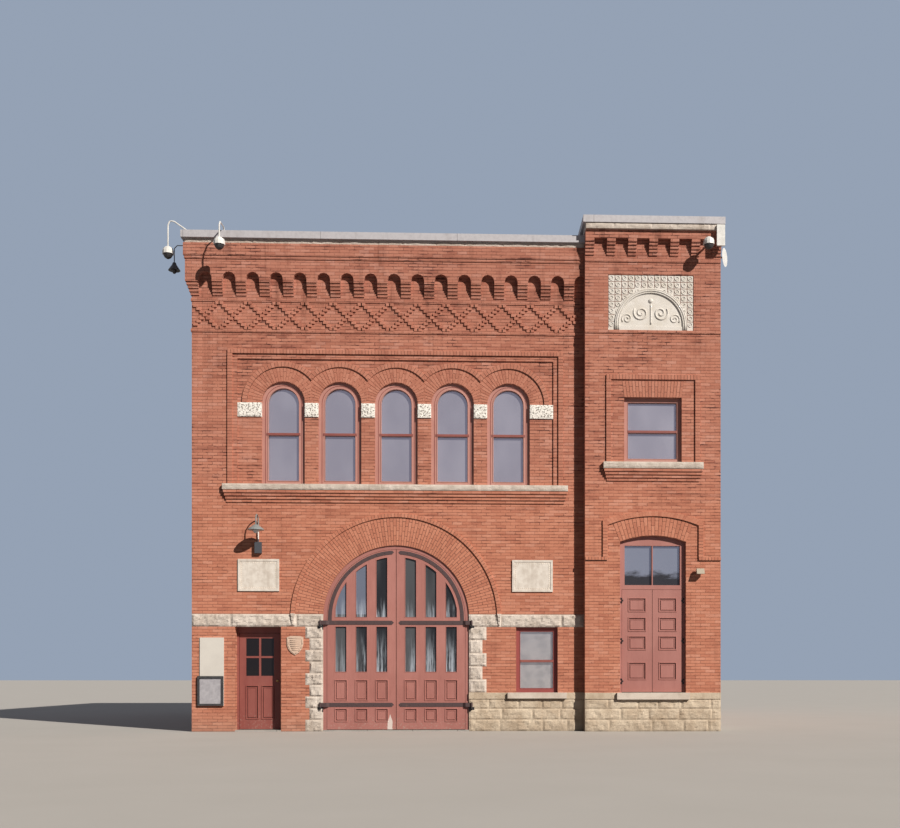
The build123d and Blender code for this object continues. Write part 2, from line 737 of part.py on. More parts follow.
def upper_floor():
    low = UPPER_FLOOR_TOP - FLOOR_THICKNESS
    floor = box(INSIDE_LEFT, INSIDE_RIGHT, INSIDE_FRONT, INSIDE_BACK, low, UPPER_FLOOR_TOP)
    return floor + box(TOWER_LEFT, INSIDE_RIGHT, TOWER_INSIDE, INSIDE_FRONT, low, UPPER_FLOOR_TOP)


def roof_profile(y0, y1):
    corners = [
        (y0, roof_top(y0)), (y1, roof_top(y1)),
        (y1, roof_top(y1) - ROOF_THICKNESS), (y0, roof_top(y0) - ROOF_THICKNESS),
    ]
    return make_face(Polyline(*corners, close=True))


def main_roof():
    roof = sideways(roof_profile(INSIDE_FRONT, INSIDE_BACK), INSIDE_LEFT, INSIDE_RIGHT)
    return roof + sideways(roof_profile(TOWER_INSIDE, INSIDE_FRONT), TOWER_LEFT, INSIDE_RIGHT)


def standing_profile(y0, y1, top):
    """Side view of a wall that stands on the sloping roof."""
    return make_face(Polyline((y0, roof_top(y0)), (y1, roof_top(y1)), (y1, top), (y0, top), close=True))


def tower_parapet():
    """Left and back walls of the tower, above the main roof."""
    side = sideways(standing_profile(INSIDE_FRONT, TOWER_BACK, TOWER_TOP), TOWER_LEFT, TOWER_LEFT + SIDE_WALL)
    back = sideways(standing_profile(TOWER_BACK - SIDE_WALL, TOWER_BACK, TOWER_TOP), TOWER_LEFT, INSIDE_RIGHT)
    return side + back


def tower_roof():
    low = TOWER_ROOF_TOP - TOWER_ROOF_THICKNESS
    left = TOWER_LEFT + SIDE_WALL
    roof = box(left, INSIDE_RIGHT, TOWER_INSIDE, TOWER_BACK - SIDE_WALL, low, TOWER_ROOF_TOP)
    return roof


# Cornice of the main block

def wrap_course(bottom, top, projection):
    """One course of the front cornice, turned round the left corner."""
    return box(LEFT - projection, TOWER_LEFT, FRONT - projection, INSIDE_FRONT, bottom, top)


def side_course(bottom, top, projection):
    return box(LEFT - projection, LEFT, INSIDE_FRONT, BACK, bottom, top)


def cornice_courses():
    """Bottom, top and projection of each band of the cornice."""
    step = ARCADE_STEP
    rise = BRICK_COURSE
    bands = [
        (CORNICE_BOTTOM, CORNICE_BOTTOM + STRING_HEIGHT, CORNICE_STRING_PROJECTION),
        (DIAPER_TOP, DIAPER_TOP + STRING_HEIGHT, CORNICE_STRING_PROJECTION),
    ]
    for i in range(ARCADE_COURSES):
        low = ARCADE_BOTTOM + i * rise
        high = ARCADE_TOP if i == ARCADE_COURSES - 1 else low + rise
        bands.append((low, high, step * (i + 1)))
    middle = ARCADE_TOP + STRING_HEIGHT
    bands.append((ARCADE_TOP, middle, (step * ARCADE_COURSES + CORNICE_TOP_PROJECTION) / 2))
    bands.append((middle, FRIEZE_BOTTOM, CORNICE_TOP_PROJECTION))
    return bands


def arcade_depth():
    return ARCADE_STEP * ARCADE_COURSES


def front_cornice():
    wall = box(LEFT, TOWER_LEFT, FRONT, INSIDE_FRONT, CORNICE_BOTTOM, FRIEZE_BOTTOM)
    for bottom, top, projection in cornice_courses():
        wall = wall + wrap_course(bottom, top, projection)
    first = LEFT + ARCADE_END + ARCADE_RADIUS
    for i in range(int((TOWER_LEFT - first) / ARCADE_PITCH) + 1):
        hole = round_head(first + ARCADE_PITCH * i, ARCADE_RADIUS, ARCADE_BOTTOM, ARCADE_SPRING, SMALL_CHORDS)
        wall = wall - facing(hole, FRONT - arcade_depth(), FRONT)
    return wall


def left_cornice():
    """The same courses along the left side, with a short return of the arcade."""
    band = None
    for bottom, top, projection in cornice_courses():
        course = side_course(bottom, top, projection)
        band = course if band is None else band + course
    for i in range(LEFT_ARCADE_COUNT):
        y = INSIDE_FRONT + ARCADE_PITCH * (i + 0.5)
        hole = round_head(y, ARCADE_RADIUS, ARCADE_BOTTOM, ARCADE_SPRING, SMALL_CHORDS)
        band = band - sideways(hole, LEFT - arcade_depth(), LEFT)
    return band


def frieze_stones():
    """Rough stone course under the copings."""
    out = FRIEZE_PROJECTION
    front = box(LEFT - out, TOWER_LEFT, FRONT - out, INSIDE_FRONT, FRIEZE_BOTTOM, PARAPET_TOP)
    side = box(LEFT - out, INSIDE_LEFT, INSIDE_FRONT, INSIDE_BACK, FRIEZE_BOTTOM, PARAPET_TOP)
    tail = box(LEFT - out, LEFT, INSIDE_BACK, BACK, FRIEZE_BOTTOM, PARAPET_TOP)
    face = TOWER_FRONT - TOWER_FRIEZE_PROJECTION
    tower = box(TOWER_LEFT, RIGHT, face, TOWER_INSIDE, TOWER_FRIEZE_BOTTOM, TOWER_TOP)
    return [front + side + tail, tower]


def main_coping():
    top = PARAPET_TOP + COPING_HEIGHT
    out = COPING_OVERHANG
    lip = COPING_BACK_LIP
    plain = PLAIN_OVERHANG
    front = box(LEFT - out, TOWER_LEFT, FRONT - out, INSIDE_FRONT + lip, PARAPET_TOP, top)
    left = box(LEFT - out, INSIDE_LEFT + lip, FRONT, BACK, PARAPET_TOP, top)
    back = box(LEFT - out, RIGHT + plain, INSIDE_BACK - lip, BACK + plain, PARAPET_TOP, top)
    right = box(INSIDE_RIGHT - lip, RIGHT + plain, TOWER_BACK, BACK, PARAPET_TOP, top)
    return front + left + back + right


def tower_coping():
    top = TOWER_TOP + TOWER_COPING_HEIGHT
    plain = PLAIN_OVERHANG
    lip = COPING_BACK_LIP
    cap = box(TOWER_LEFT - plain, RIGHT + plain, TOWER_FRONT - COPING_OVERHANG, TOWER_BACK + plain, TOWER_TOP, top)
    inner = (TOWER_LEFT + SIDE_WALL + lip, INSIDE_RIGHT - lip, TOWER_INSIDE + lip, TOWER_BACK - SIDE_WALL - lip)
    return cap - box(*inner, TOWER_TOP, top)


# Stone base

def base_stones():
    """Ashlar base from the arched doorway round the tower's foot."""
    ledge = BASE_HEIGHT - LEDGE_HEIGHT
    main = box(ARCH_RIGHT, TOWER_LEFT, FRONT, INSIDE_FRONT, 0, BASE_HEIGHT)
    main = main + box(ARCH_RIGHT, TOWER_LEFT, FRONT - LEDGE_PROJECTION, FRONT, ledge, BASE_HEIGHT)
    main = main - ground_sill()
    face = TOWER_FRONT - LEDGE_PROJECTION
    tower = box(TOWER_LEFT, RIGHT, TOWER_FRONT, TOWER_INSIDE, 0, BASE_HEIGHT)
    tower = tower + box(TOWER_LEFT, RIGHT, face, TOWER_FRONT, ledge, BASE_HEIGHT)
    tower = tower - tower_door_sill()
    return [main + tower]


# Tower front

def tower_door_opening():
    return segment_head(TOWER_X, TOWER_DOOR_WIDTH / 2, BASE_HEIGHT, TOWER_DOOR_SPRING, TOWER_DOOR_RISE)


def tower_door_sill():
    half = TOWER_DOOR_WIDTH / 2 + TOWER_DOOR_SILL_END
    face = TOWER_FRONT - SILL_PROJECTION
    low = BASE_HEIGHT - TOWER_DOOR_SILL_HEIGHT
    return box(TOWER_X - half, TOWER_X + half, face, TOWER_INSIDE, low, BASE_HEIGHT)


def tower_jambs():
    half = TOWER_DOOR_WIDTH / 2
    left = box(TOWER_LEFT, TOWER_X - half, TOWER_FRONT, TOWER_INSIDE, BASE_HEIGHT, TOWER_DOOR_SPRING)
    right = box(TOWER_X + half, RIGHT, TOWER_FRONT, TOWER_INSIDE, BASE_HEIGHT, TOWER_DOOR_SPRING)
    return left, right


def tower_middle_wall():
    wall = box(TOWER_LEFT, RIGHT, TOWER_FRONT, TOWER_INSIDE, TOWER_DOOR_SPRING, TOWER_WALL_SPLIT)
    return wall - facing(tower_door_opening(), TOWER_FRONT, TOWER_INSIDE)


def tower_sill():
    half = tower_sill_half()
    face = TOWER_FRONT - SILL_PROJECTION
    low = TOWER_WINDOW_BOTTOM - TOWER_SILL_HEIGHT
    return box(TOWER_X - half, TOWER_X + half, face, TOWER_FRONT + SILL_DEPTH, low, TOWER_WINDOW_BOTTOM)


def plaque_pocket():
    half = PLAQUE_WIDTH / 2
    depth = PLAQUE_RECESS + PLAQUE_THICKNESS
    return box(PLAQUE_X - half, PLAQUE_X + half, TOWER_FRONT, TOWER_FRONT + depth, PLAQUE_BOTTOM, PLAQUE_TOP)


def tower_upper_wall():
    """Brickwork round the tower window, with a string course and corbels under the sill."""
    half = TOWER_WINDOW_WIDTH / 2
    wall = box(TOWER_LEFT, RIGHT, TOWER_FRONT, TOWER_INSIDE, TOWER_WALL_SPLIT, TABLE_BOTTOM)
    hole = box(TOWER_X - half, TOWER_X + half, TOWER_FRONT, TOWER_INSIDE, TOWER_WINDOW_BOTTOM, TOWER_WINDOW_TOP)
    face = TOWER_FRONT - CORNICE_STRING_PROJECTION
    wall = wall + box(TOWER_LEFT, RIGHT, face, TOWER_FRONT, CORNICE_BOTTOM, DIAPER_BOTTOM)
    for i in range(SILL_CORBEL_COURSES):
        top = TOWER_WINDOW_BOTTOM - TOWER_SILL_HEIGHT - i * BRICK_COURSE
        step = SILL_CORBEL_STEP * (SILL_CORBEL_COURSES - i)
        reach = tower_sill_half() - SILL_CORBEL_STEP * (i + 1)
        wall = wall + box(TOWER_X - reach, TOWER_X + reach, TOWER_FRONT - step, TOWER_FRONT, top - BRICK_COURSE, top)
    return wall - hole - tower_sill() - plaque_pocket()


def tower_corbel_table():
    """Top of the tower front: a string, six square recesses between stepped corbels."""
    wall = box(TOWER_LEFT, RIGHT, TOWER_FRONT, TOWER_INSIDE, TABLE_BOTTOM, TOWER_FRIEZE_BOTTOM)
    string = TABLE_BOTTOM + TABLE_STRING_HEIGHT
    face = TOWER_FRONT - CORNICE_STRING_PROJECTION
    wall = wall + box(TOWER_LEFT, RIGHT, face, TOWER_FRONT, TABLE_BOTTOM, string)
    step = TABLE_PROJECTION / ARCADE_COURSES
    for i in range(ARCADE_COURSES):
        low = TABLE_RECESS_BOTTOM + i * BRICK_COURSE
        reach = TOWER_FRONT - step * (i + 1)
        wall = wall + box(TOWER_LEFT, RIGHT, reach, TOWER_FRONT, low, TOWER_FRIEZE_BOTTOM)
    half = TABLE_RECESS_WIDTH / 2
    for i in range(TABLE_RECESS_COUNT):
        x = TOWER_X + TABLE_RECESS_PITCH * (i - (TABLE_RECESS_COUNT - 1) / 2)
        face = TOWER_FRONT - TABLE_PROJECTION
        wall = wall - box(x - half, x + half, face, TOWER_FRONT, TABLE_RECESS_BOTTOM, TABLE_RECESS_TOP)
    return wall


def tower_plaque():
    """Tiled panel with a round-headed lunette in a moulded rim, bare of any date."""
    half = PLAQUE_WIDTH / 2
    face = TOWER_FRONT + PLAQUE_RECESS
    slab = box(PLAQUE_X - half, PLAQUE_X + half, face, face + PLAQUE_THICKNESS, PLAQUE_BOTTOM, PLAQUE_TOP)
    rim = lunette(0) - lunette(LUNETTE_RIM)
    return slab + facing(rim, face - LUNETTE_RISE, face)


def lunette(inset):
    """Half-round shape on short upright sides, drawn in by an inset."""
    half = LUNETTE_HALF - inset
    spring = PLAQUE_BOTTOM + LUNETTE_HEIGHT - LUNETTE_HALF
    return round_head(PLAQUE_X, half, PLAQUE_BOTTOM + inset, spring, MEDIUM_CHORDS)


# Raised header courses

def arch_label():
    inner = ARCH_RADIUS + ARCH_RING
    outer = inner + ARCH_LABEL_WIDTH
    lean = math.degrees(math.asin((BELT_TOP - ARCH_SPRING) / inner))
    band = half_ring(ARCH_X, ARCH_SPRING, inner, outer, LARGE_CHORDS, lean, 180 - lean)
    low = rect(ARCH_X - outer, ARCH_X + outer, ARCH_SPRING, BELT_TOP)
    return facing(band - low, FRONT - LABEL_PROJECTION, FRONT)


def window_labels():
    face = FRONT + FIELD_RECESS
    arcs = [facing(band, face - LABEL_PROJECTION, face) for band in window_bands()]
    return arcs + [facing(panel_label(), FRONT - LABEL_PROJECTION, FRONT)]


def tower_labels():
    face = TOWER_FRONT - LABEL_PROJECTION
    return [facing(drawing, face, TOWER_FRONT) for drawing in (tower_window_label(), tower_door_label())]


# Frames, glass and blinds

def door_arch_frame():
    inner = ARCH_RADIUS - ARCH_FRAME_WIDTH
    face = FRONT + ARCH_FRAME_RECESS
    edge = round_head(ARCH_X, ARCH_RADIUS, FLOOR_TOP, ARCH_SPRING, LARGE_CHORDS)
    hole = round_head(ARCH_X, inner, FLOOR_TOP, ARCH_SPRING, LARGE_CHORDS)
    frame = facing(edge - hole, face, face + ARCH_FRAME_DEPTH)
    stop_face = LEAF_BACK + LEAF_STOP_CLEARANCE
    narrow = round_head(ARCH_X, inner - ARCH_STOP_WIDTH, FLOOR_TOP, ARCH_SPRING, LARGE_CHORDS)
    return frame + facing(edge - narrow, stop_face, stop_face + ARCH_STOP_DEPTH)


def entry_door_frame():
    half = ENTRY_WIDTH / 2
    inner = half - ENTRY_FRAME_WIDTH
    head = BELT_BOTTOM - ENTRY_HEAD_PANEL
    outline = rect(ENTRY_X - half, ENTRY_X + half, FLOOR_TOP, BELT_BOTTOM)
    hole = rect(ENTRY_X - inner, ENTRY_X + inner, FLOOR_TOP, head)
    face = FRONT + ENTRY_RECESS
    return facing(outline - hole, face, face + ENTRY_FRAME_DEPTH)


def tower_door_frame():
    """Frame with a glazed transom light over the two leaves."""
    inner = TOWER_DOOR_WIDTH / 2 - TOWER_FRAME_WIDTH
    drawing = tower_door_opening() - rect(TOWER_X - inner, TOWER_X + inner, BASE_HEIGHT, TOWER_DOOR_HEAD)
    for light in tower_lights():
        drawing = drawing - light
    return facing(drawing, TOWER_FACE, TOWER_FACE + TOWER_FRAME_DEPTH)


def transom_glass():
    y = TOWER_FACE + TOWER_FRAME_DEPTH / 2
    return [facing(light, y, y + GLASS_THICKNESS) for light in tower_lights()]


def arched_lights():
    """The two glass openings of an arched window, centred on x = 0."""
    inner = WINDOW_RADIUS - ARCHED_FRAME_WIDTH
    low = rect(-inner, inner, WINDOW_BOTTOM + FRAME_WIDTH, WINDOW_MEETING - MEETING_RAIL / 2)
    high = round_head(0, inner, WINDOW_MEETING + MEETING_RAIL / 2, WINDOW_SPRING, MEDIUM_CHORDS)
    return low, high


def upper_window_frames():
    edge = round_head(0, WINDOW_RADIUS, WINDOW_BOTTOM, WINDOW_SPRING, MEDIUM_CHORDS)
    low, high = arched_lights()
    frame = facing(edge - low - high, 0, FRAME_DEPTH)
    return [Pos(x, FRONT + WINDOW_RECESS, 0) * frame for x in WINDOW_XS]


def upper_window_glass():
    sheets = [facing(light, 0, GLASS_THICKNESS) for light in arched_lights()]
    y = FRONT + WINDOW_RECESS + FRAME_DEPTH / 2
    return [Pos(x, y, 0) * sheet for x in WINDOW_XS for sheet in sheets]


def front_frames():
    ground = sash_frame(
        GROUND_WINDOW_WIDTH / 2, GROUND_WINDOW_BOTTOM, GROUND_WINDOW_TOP, GROUND_WINDOW_MEETING, WINDOW_RECESS
    )
    tower = sash_frame(
        TOWER_WINDOW_WIDTH / 2, TOWER_WINDOW_BOTTOM, TOWER_WINDOW_TOP, TOWER_WINDOW_MEETING, WINDOW_RECESS
    )
    return [Pos(GROUND_WINDOW_X, FRONT, 0) * ground, Pos(TOWER_X, TOWER_FRONT, 0) * tower]


def front_glass():
    ground = sash_glass(
        GROUND_WINDOW_WIDTH / 2, GROUND_WINDOW_BOTTOM, GROUND_WINDOW_TOP, GROUND_WINDOW_MEETING, WINDOW_RECESS
    )
    tower = sash_glass(
        TOWER_WINDOW_WIDTH / 2, TOWER_WINDOW_BOTTOM, TOWER_WINDOW_TOP, TOWER_WINDOW_MEETING, WINDOW_RECESS
    )
    sheets = [Pos(GROUND_WINDOW_X, FRONT, 0) * sheet for sheet in ground]
    return sheets + [Pos(TOWER_X, TOWER_FRONT, 0) * sheet for sheet in tower]


def window_blinds():
    ground = sash_blind(GROUND_WINDOW_WIDTH / 2, GROUND_WINDOW_MEETING, GROUND_WINDOW_TOP, WINDOW_RECESS)
    tower = sash_blind(TOWER_WINDOW_WIDTH / 2, TOWER_WINDOW_BOTTOM, TOWER_WINDOW_TOP, WINDOW_RECESS)
    back = FRONT + WINDOW_RECESS + FRAME_DEPTH
    blinds = [Pos(GROUND_WINDOW_X, FRONT, 0) * ground, Pos(TOWER_X, TOWER_FRONT, 0) * tower]
    shape = round_head(0, WINDOW_RADIUS, WINDOW_BOTTOM + FRAME_WIDTH, WINDOW_SPRING, MEDIUM_CHORDS)
    return blinds + [Pos(x, 0, 0) * facing(shape, back, back + BLIND_THICKNESS) for x in WINDOW_XS]


# Leaves of the arched door; side is -1 for the left leaf and 1 for the right

def leaf_span(side, low, high):
    """Two distances from the meeting line, as X on one side of it."""
    return sorted((ARCH_X + side * low, ARCH_X + side * high))


def apparatus_leaf(side):
    reach = ARCH_RADIUS
    x0, x1 = leaf_span(side, LEAF_MEETING_GAP / 2, reach)
    bottom = FLOOR_TOP + LEAF_FLOOR_CLEARANCE
    shape = round_head(ARCH_X, LEAF_RADIUS, bottom, ARCH_SPRING, LARGE_CHORDS)
    shape = shape & rect(x0, x1, bottom, ARCH_SPRING + reach)
    for light in apparatus_lights(side):
        shape = shape - light
    leaf = facing(shape, LEAF_FACE, LEAF_BACK)
    for offset in LIGHT_OFFSETS:
        for low, height in ((LOW_PANEL_BOTTOM, LOW_PANEL_HEIGHT), (MID_PANEL_BOTTOM, MID_PANEL_HEIGHT)):
            leaf = leaf - sunk_panel(ARCH_X + side * offset, PANEL_WIDTH / 2, low, low + height, LEAF_FACE)
    edge = ARCH_X + side * LEAF_MEETING_GAP / 2
    corner = Polyline(
        (edge, LEAF_BACK), (edge, LEAF_BACK - 2 * LEAF_BEVEL), (edge + side * LEAF_BEVEL, LEAF_BACK), close=True
    )
    return leaf - extrude(Plane.XY * make_face(corner), amount=ARCH_SPRING + reach)


def sunk_panel(x, half, low, high, face):
    """The groove round a raised panel field, to be cut from a leaf's face."""
    margin = FIELD_MARGIN
    pocket = box(x - half, x + half, face, face + PANEL_DEPTH, low, high)
    field_face = face + PANEL_DEPTH - FIELD_RISE
    field = box(x - half + margin, x + half - margin, field_face, face + PANEL_DEPTH, low + margin, high - margin)
    return pocket - field


def apparatus_lights(side):
    half = LIGHT_WIDTH / 2
    curve = round_head(ARCH_X, HIGH_LIGHT_RADIUS, HIGH_LIGHT_BOTTOM, ARCH_SPRING, LARGE_CHORDS)
    lights = []
    for offset in LIGHT_OFFSETS:
        x = ARCH_X + side * offset
        lights.append(rect(x - half, x + half, LOW_LIGHT_BOTTOM, LOW_LIGHT_BOTTOM + LOW_LIGHT_HEIGHT))
        tall = rect(x - half, x + half, HIGH_LIGHT_BOTTOM, ARCH_SPRING + HIGH_LIGHT_RADIUS)
        lights.append(tall & curve)
    return lights


def apparatus_glass(side):
    y = LEAF_FACE + LEAF_THICKNESS / 2
    return [facing(light, y, y + GLASS_THICKNESS) for light in apparatus_lights(side)]


def hinge_x(side):
    return ARCH_X + side * (ARCH_RADIUS + HINGE_SIDE_OFFSET)


def strap(side, z):
    """Iron strap across the leaf that steps forward past the frame to its eye."""
    eye_x = hinge_x(side)
    tip = ARCH_X + side * STRAP_TIP_GAP
    neck = ARCH_X + side * (LEAF_RADIUS - STRAP_HEIGHT / 2)
    thick = STRAP_THICKNESS
    front = HINGE_Y + EYE_RADIUS - thick
    shoulder = neck + side * STRAP_JOGGLE_LENGTH
    point = STRAP_HEIGHT / 2
    low = z - STRAP_HEIGHT / 2
    plan = Polyline(
        (tip + side * point, LEAF_FACE), (neck, LEAF_FACE), (shoulder, front + thick), (eye_x, front + thick),
        (eye_x, front), (shoulder - side * thick / 2, front), (neck - side * thick / 2, LEAF_FACE - thick),
        (tip + side * point, LEAF_FACE - thick), close=True,
    )
    bar = extrude(Plane.XY.offset(low) * make_face(plan), amount=STRAP_HEIGHT)
    nose = outline([(tip, z), (tip + side * point, low), (tip + side * point, low + STRAP_HEIGHT)])
    bar = bar + facing(nose, LEAF_FACE - thick, LEAF_FACE)
    eye = prism(eye_x, HINGE_Y, low, EYE_RADIUS, STRAP_HEIGHT, 2 * ROD_SIDES)
    hole = prism(eye_x, HINGE_Y, low, PIN_RADIUS + PIN_CLEARANCE, STRAP_HEIGHT, ROD_SIDES, flats=True)
    return bar + eye - hole


def curved_strap(side):
    """Iron band along the arched edge of a leaf, from the upper strap to a point at the crown."""
    low = HIGH_STRAP_Z + STRAP_HEIGHT / 2
    outer = CURVED_STRAP_RADIUS + CURVED_STRAP_WIDTH
    shape = round_head(ARCH_X, outer, low, ARCH_SPRING, LARGE_CHORDS)
    shape = shape - round_head(ARCH_X, CURVED_STRAP_RADIUS, low, ARCH_SPRING, LARGE_CHORDS)
    tip = ARCH_X + side * STRAP_TIP_GAP
    half = CURVED_STRAP_WIDTH / 2
    shoulder = tip + side * half
    far = ARCH_X + side * ARCH_RADIUS
    middle = ARCH_SPRING + CURVED_STRAP_RADIUS + half
    top = middle + 2 * half
    span = outline([
        (tip, middle), (shoulder, middle + half), (shoulder, top), (far, top), (far, low), (shoulder, low),
        (shoulder, middle - half),
    ])
    return facing(shape & span, LEAF_FACE - STRAP_THICKNESS, LEAF_FACE)


def apparatus_ironwork(side):
    upper = strap(side, HIGH_STRAP_Z)
    return [strap(side, LOW_STRAP_Z), upper + curved_strap(side)]


def door_pintles():
    """Brackets on the jamb stones, each with the pin that carries a strap's eye."""
    pieces = []
    for side in (-1, 1):
        x = hinge_x(side)
        a, b = sorted((x - side * BRACKET_WIDTH / 2, x + side * HINGE_SIDE_OFFSET))
        for z in (LOW_STRAP_Z, HIGH_STRAP_Z):
            top = z - STRAP_HEIGHT / 2 - EYE_SEAT_CLEARANCE
            plate = box(a, b, FRONT - BRACKET_THICKNESS, FRONT, top - BRACKET_HEIGHT, top)
            arm = box(x - EYE_RADIUS, x + EYE_RADIUS, HINGE_Y, FRONT, top - BRACKET_HEIGHT / 2, top)
            boss = prism(x, HINGE_Y, top - BRACKET_HEIGHT / 2, EYE_RADIUS, BRACKET_HEIGHT / 2, 2 * ROD_SIDES)
            pin = prism(x, HINGE_Y, top, PIN_RADIUS, STRAP_HEIGHT + BRACKET_THICKNESS, ROD_SIDES)
            pieces.append(plate + arm + boss + pin)
    return pieces


# Entry door

def entry_leaf_edges():
    half = ENTRY_WIDTH / 2 - ENTRY_FRAME_WIDTH - ENTRY_EDGE_CLEARANCE
    top = BELT_BOTTOM - ENTRY_HEAD_PANEL - ENTRY_EDGE_CLEARANCE
    return ENTRY_X - half, ENTRY_X + half, FLOOR_TOP + ENTRY_FLOOR_CLEARANCE, top


def entry_lights():
    x0, x1, bottom, top = entry_leaf_edges()
    low = ENTRY_LIGHT_BOTTOM
    high = low + ENTRY_LIGHT_HEIGHT
    bar = ENTRY_BAR / 2
    middle = (low + high) / 2
    lights = []
    for left, right in ((x0 + ENTRY_STILE, ENTRY_X - bar), (ENTRY_X + bar, x1 - ENTRY_STILE)):
        lights.append(rect(left, right, low, middle - bar))
        lights.append(rect(left, right, middle + bar, high))
    return lights


def entry_leaf():
    x0, x1, bottom, top = entry_leaf_edges()
    shape = rect(x0, x1, bottom, top)
    for light in entry_lights():
        shape = shape - light
    leaf = facing(shape, ENTRY_FACE, ENTRY_BACK)
    width = (x1 - x0 - 2 * ENTRY_STILE - ENTRY_MULLION) / 2
    high = ENTRY_PANEL_BOTTOM + ENTRY_PANEL_HEIGHT
    for x in (x0 + ENTRY_STILE + width / 2, x1 - ENTRY_STILE - width / 2):
        leaf = leaf - sunk_panel(x, width / 2, ENTRY_PANEL_BOTTOM, high, ENTRY_FACE)
    return leaf


def entry_glass():
    y = ENTRY_FACE + ENTRY_LEAF_THICKNESS / 2
    return [facing(light, y, y + GLASS_THICKNESS) for light in entry_lights()]


def entry_axis():
    x0, x1, bottom, top = entry_leaf_edges()
    return x0 - ENTRY_EDGE_CLEARANCE / 2, ENTRY_BACK + HINGE_RADIUS


def hinge_heights(bottom, top):
    margin = HINGE_LENGTH * 2
    return bottom + margin, (bottom + top) / 2, top - margin


def entry_hardware():
    """Knobs inside and out, and the leaf's half of each hinge."""
    x0, x1, bottom, top = entry_leaf_edges()
    x = x1 - KNOB_BACKSET
    pieces = [knob(x, ENTRY_FACE, KNOB_Z, -1), knob(x, ENTRY_BACK, KNOB_Z, 1)]
    hx, hy = entry_axis()
    half = HINGE_LENGTH / 6 - EYE_SEAT_CLEARANCE
    for z in hinge_heights(bottom, top):
        wing = box(hx, x0 + HINGE_WING, ENTRY_BACK, ENTRY_BACK + HINGE_PLATE, z - half, z + half)
        pieces.append(leaf_knuckle(hx, hy, z, wing))
    return pieces


# Tower door leaves; side is -1 for the left leaf and 1 for the right

def tower_leaf_edges(side):
    outer = TOWER_DOOR_WIDTH / 2 - TOWER_FRAME_WIDTH - TOWER_LEAF_CLEARANCE
    x0, x1 = sorted((TOWER_X + side * TOWER_LEAF_GAP / 2, TOWER_X + side * outer))
    return x0, x1, BASE_HEIGHT + ENTRY_FLOOR_CLEARANCE, TOWER_DOOR_HEAD - TOWER_LEAF_CLEARANCE


def tower_leaf(side):
    x0, x1, bottom, top = tower_leaf_edges(side)
    leaf = box(x0, x1, TOWER_FACE, TOWER_FACE + TOWER_LEAF_THICKNESS, bottom, top)
    half = (x1 - x0) / 2 - TOWER_STILE
    for rise, height in TOWER_PANELS:
        low = bottom + rise
        leaf = leaf - sunk_panel((x0 + x1) / 2, half, low, low + height, TOWER_FACE)
    edge = TOWER_X + side * TOWER_LEAF_GAP / 2
    back = TOWER_FACE + TOWER_LEAF_THICKNESS
    corner = Polyline((edge, back), (edge, back - LEAF_BEVEL), (edge + side * LEAF_BEVEL / 2, back), close=True)
    return leaf - extrude(Plane.XY.offset(bottom) * make_face(corner), amount=top - bottom)


def tower_axis(side):
    x = TOWER_X + side * (TOWER_DOOR_WIDTH / 2 - TOWER_FRAME_WIDTH - TOWER_LEAF_CLEARANCE / 2)
    return x, TOWER_FACE - TOWER_AXIS_OUT


def tower_hardware(side):
    x0, x1, bottom, top = tower_leaf_edges(side)
    hx, hy = tower_axis(side)
    half = HINGE_LENGTH / 6 - EYE_SEAT_CLEARANCE
    pieces = []
    for z in hinge_heights(bottom, top):
        a, b = sorted((hx, hx - side * HINGE_WING))
        wing = box(a, b, TOWER_FACE - HINGE_PLATE, TOWER_FACE, z - half, z + half)
        pieces.append(leaf_knuckle(hx, hy, z, wing))
    return pieces


def fixed_hinges():
    """Frame halves of the butt hinges of the entry door and the tower door."""
    pieces = []
    x0, x1, bottom, top = entry_leaf_edges()
    hx, hy = entry_axis()
    for z in hinge_heights(bottom, top):
        pieces.append(frame_knuckles(hx, hy, z, hx - HINGE_WING / 2, hx, ENTRY_BACK, ENTRY_BACK + HINGE_PLATE))
    for side in (-1, 1):
        x0, x1, bottom, top = tower_leaf_edges(side)
        hx, hy = tower_axis(side)
        a, b = sorted((hx, hx + side * HINGE_WING))
        for z in hinge_heights(bottom, top):
            pieces.append(frame_knuckles(hx, hy, z, a, b, TOWER_FACE - HINGE_PLATE, TOWER_FACE))
    return pieces


# Fittings

def tablet(x):
    """Plain tablet with a raised border."""
    half = TABLET_WIDTH / 2
    top = TABLET_BOTTOM + TABLET_HEIGHT
    slab = box(x - half, x + half, FRONT - TABLET_THICKNESS, FRONT, TABLET_BOTTOM, top)
    inner = half - TABLET_BORDER
    field = box(
        x - inner, x + inner, FRONT - TABLET_THICKNESS, FRONT - TABLET_THICKNESS * 2 / 3,
        TABLET_BOTTOM + TABLET_BORDER, top - TABLET_BORDER,
    )
    return slab - field


def shield_plaque():
    half = SHIELD_WIDTH / 2
    x = ARCH_LEFT - QUOIN_LONG - SHIELD_FROM_QUOIN - half
    shares = ((-0.6, 1), (-1, 0.94), (-1, 0.55), (-0.84, 0.33), (-0.5, 0.13), (0, 0))
    left = [(x + half * across, SHIELD_BOTTOM + SHIELD_HEIGHT * up) for across, up in shares]
    right = [(2 * x - px, pz) for px, pz in left[-2::-1]]
    return facing(outline(left + right), FRONT - SHIELD_THICKNESS, FRONT)


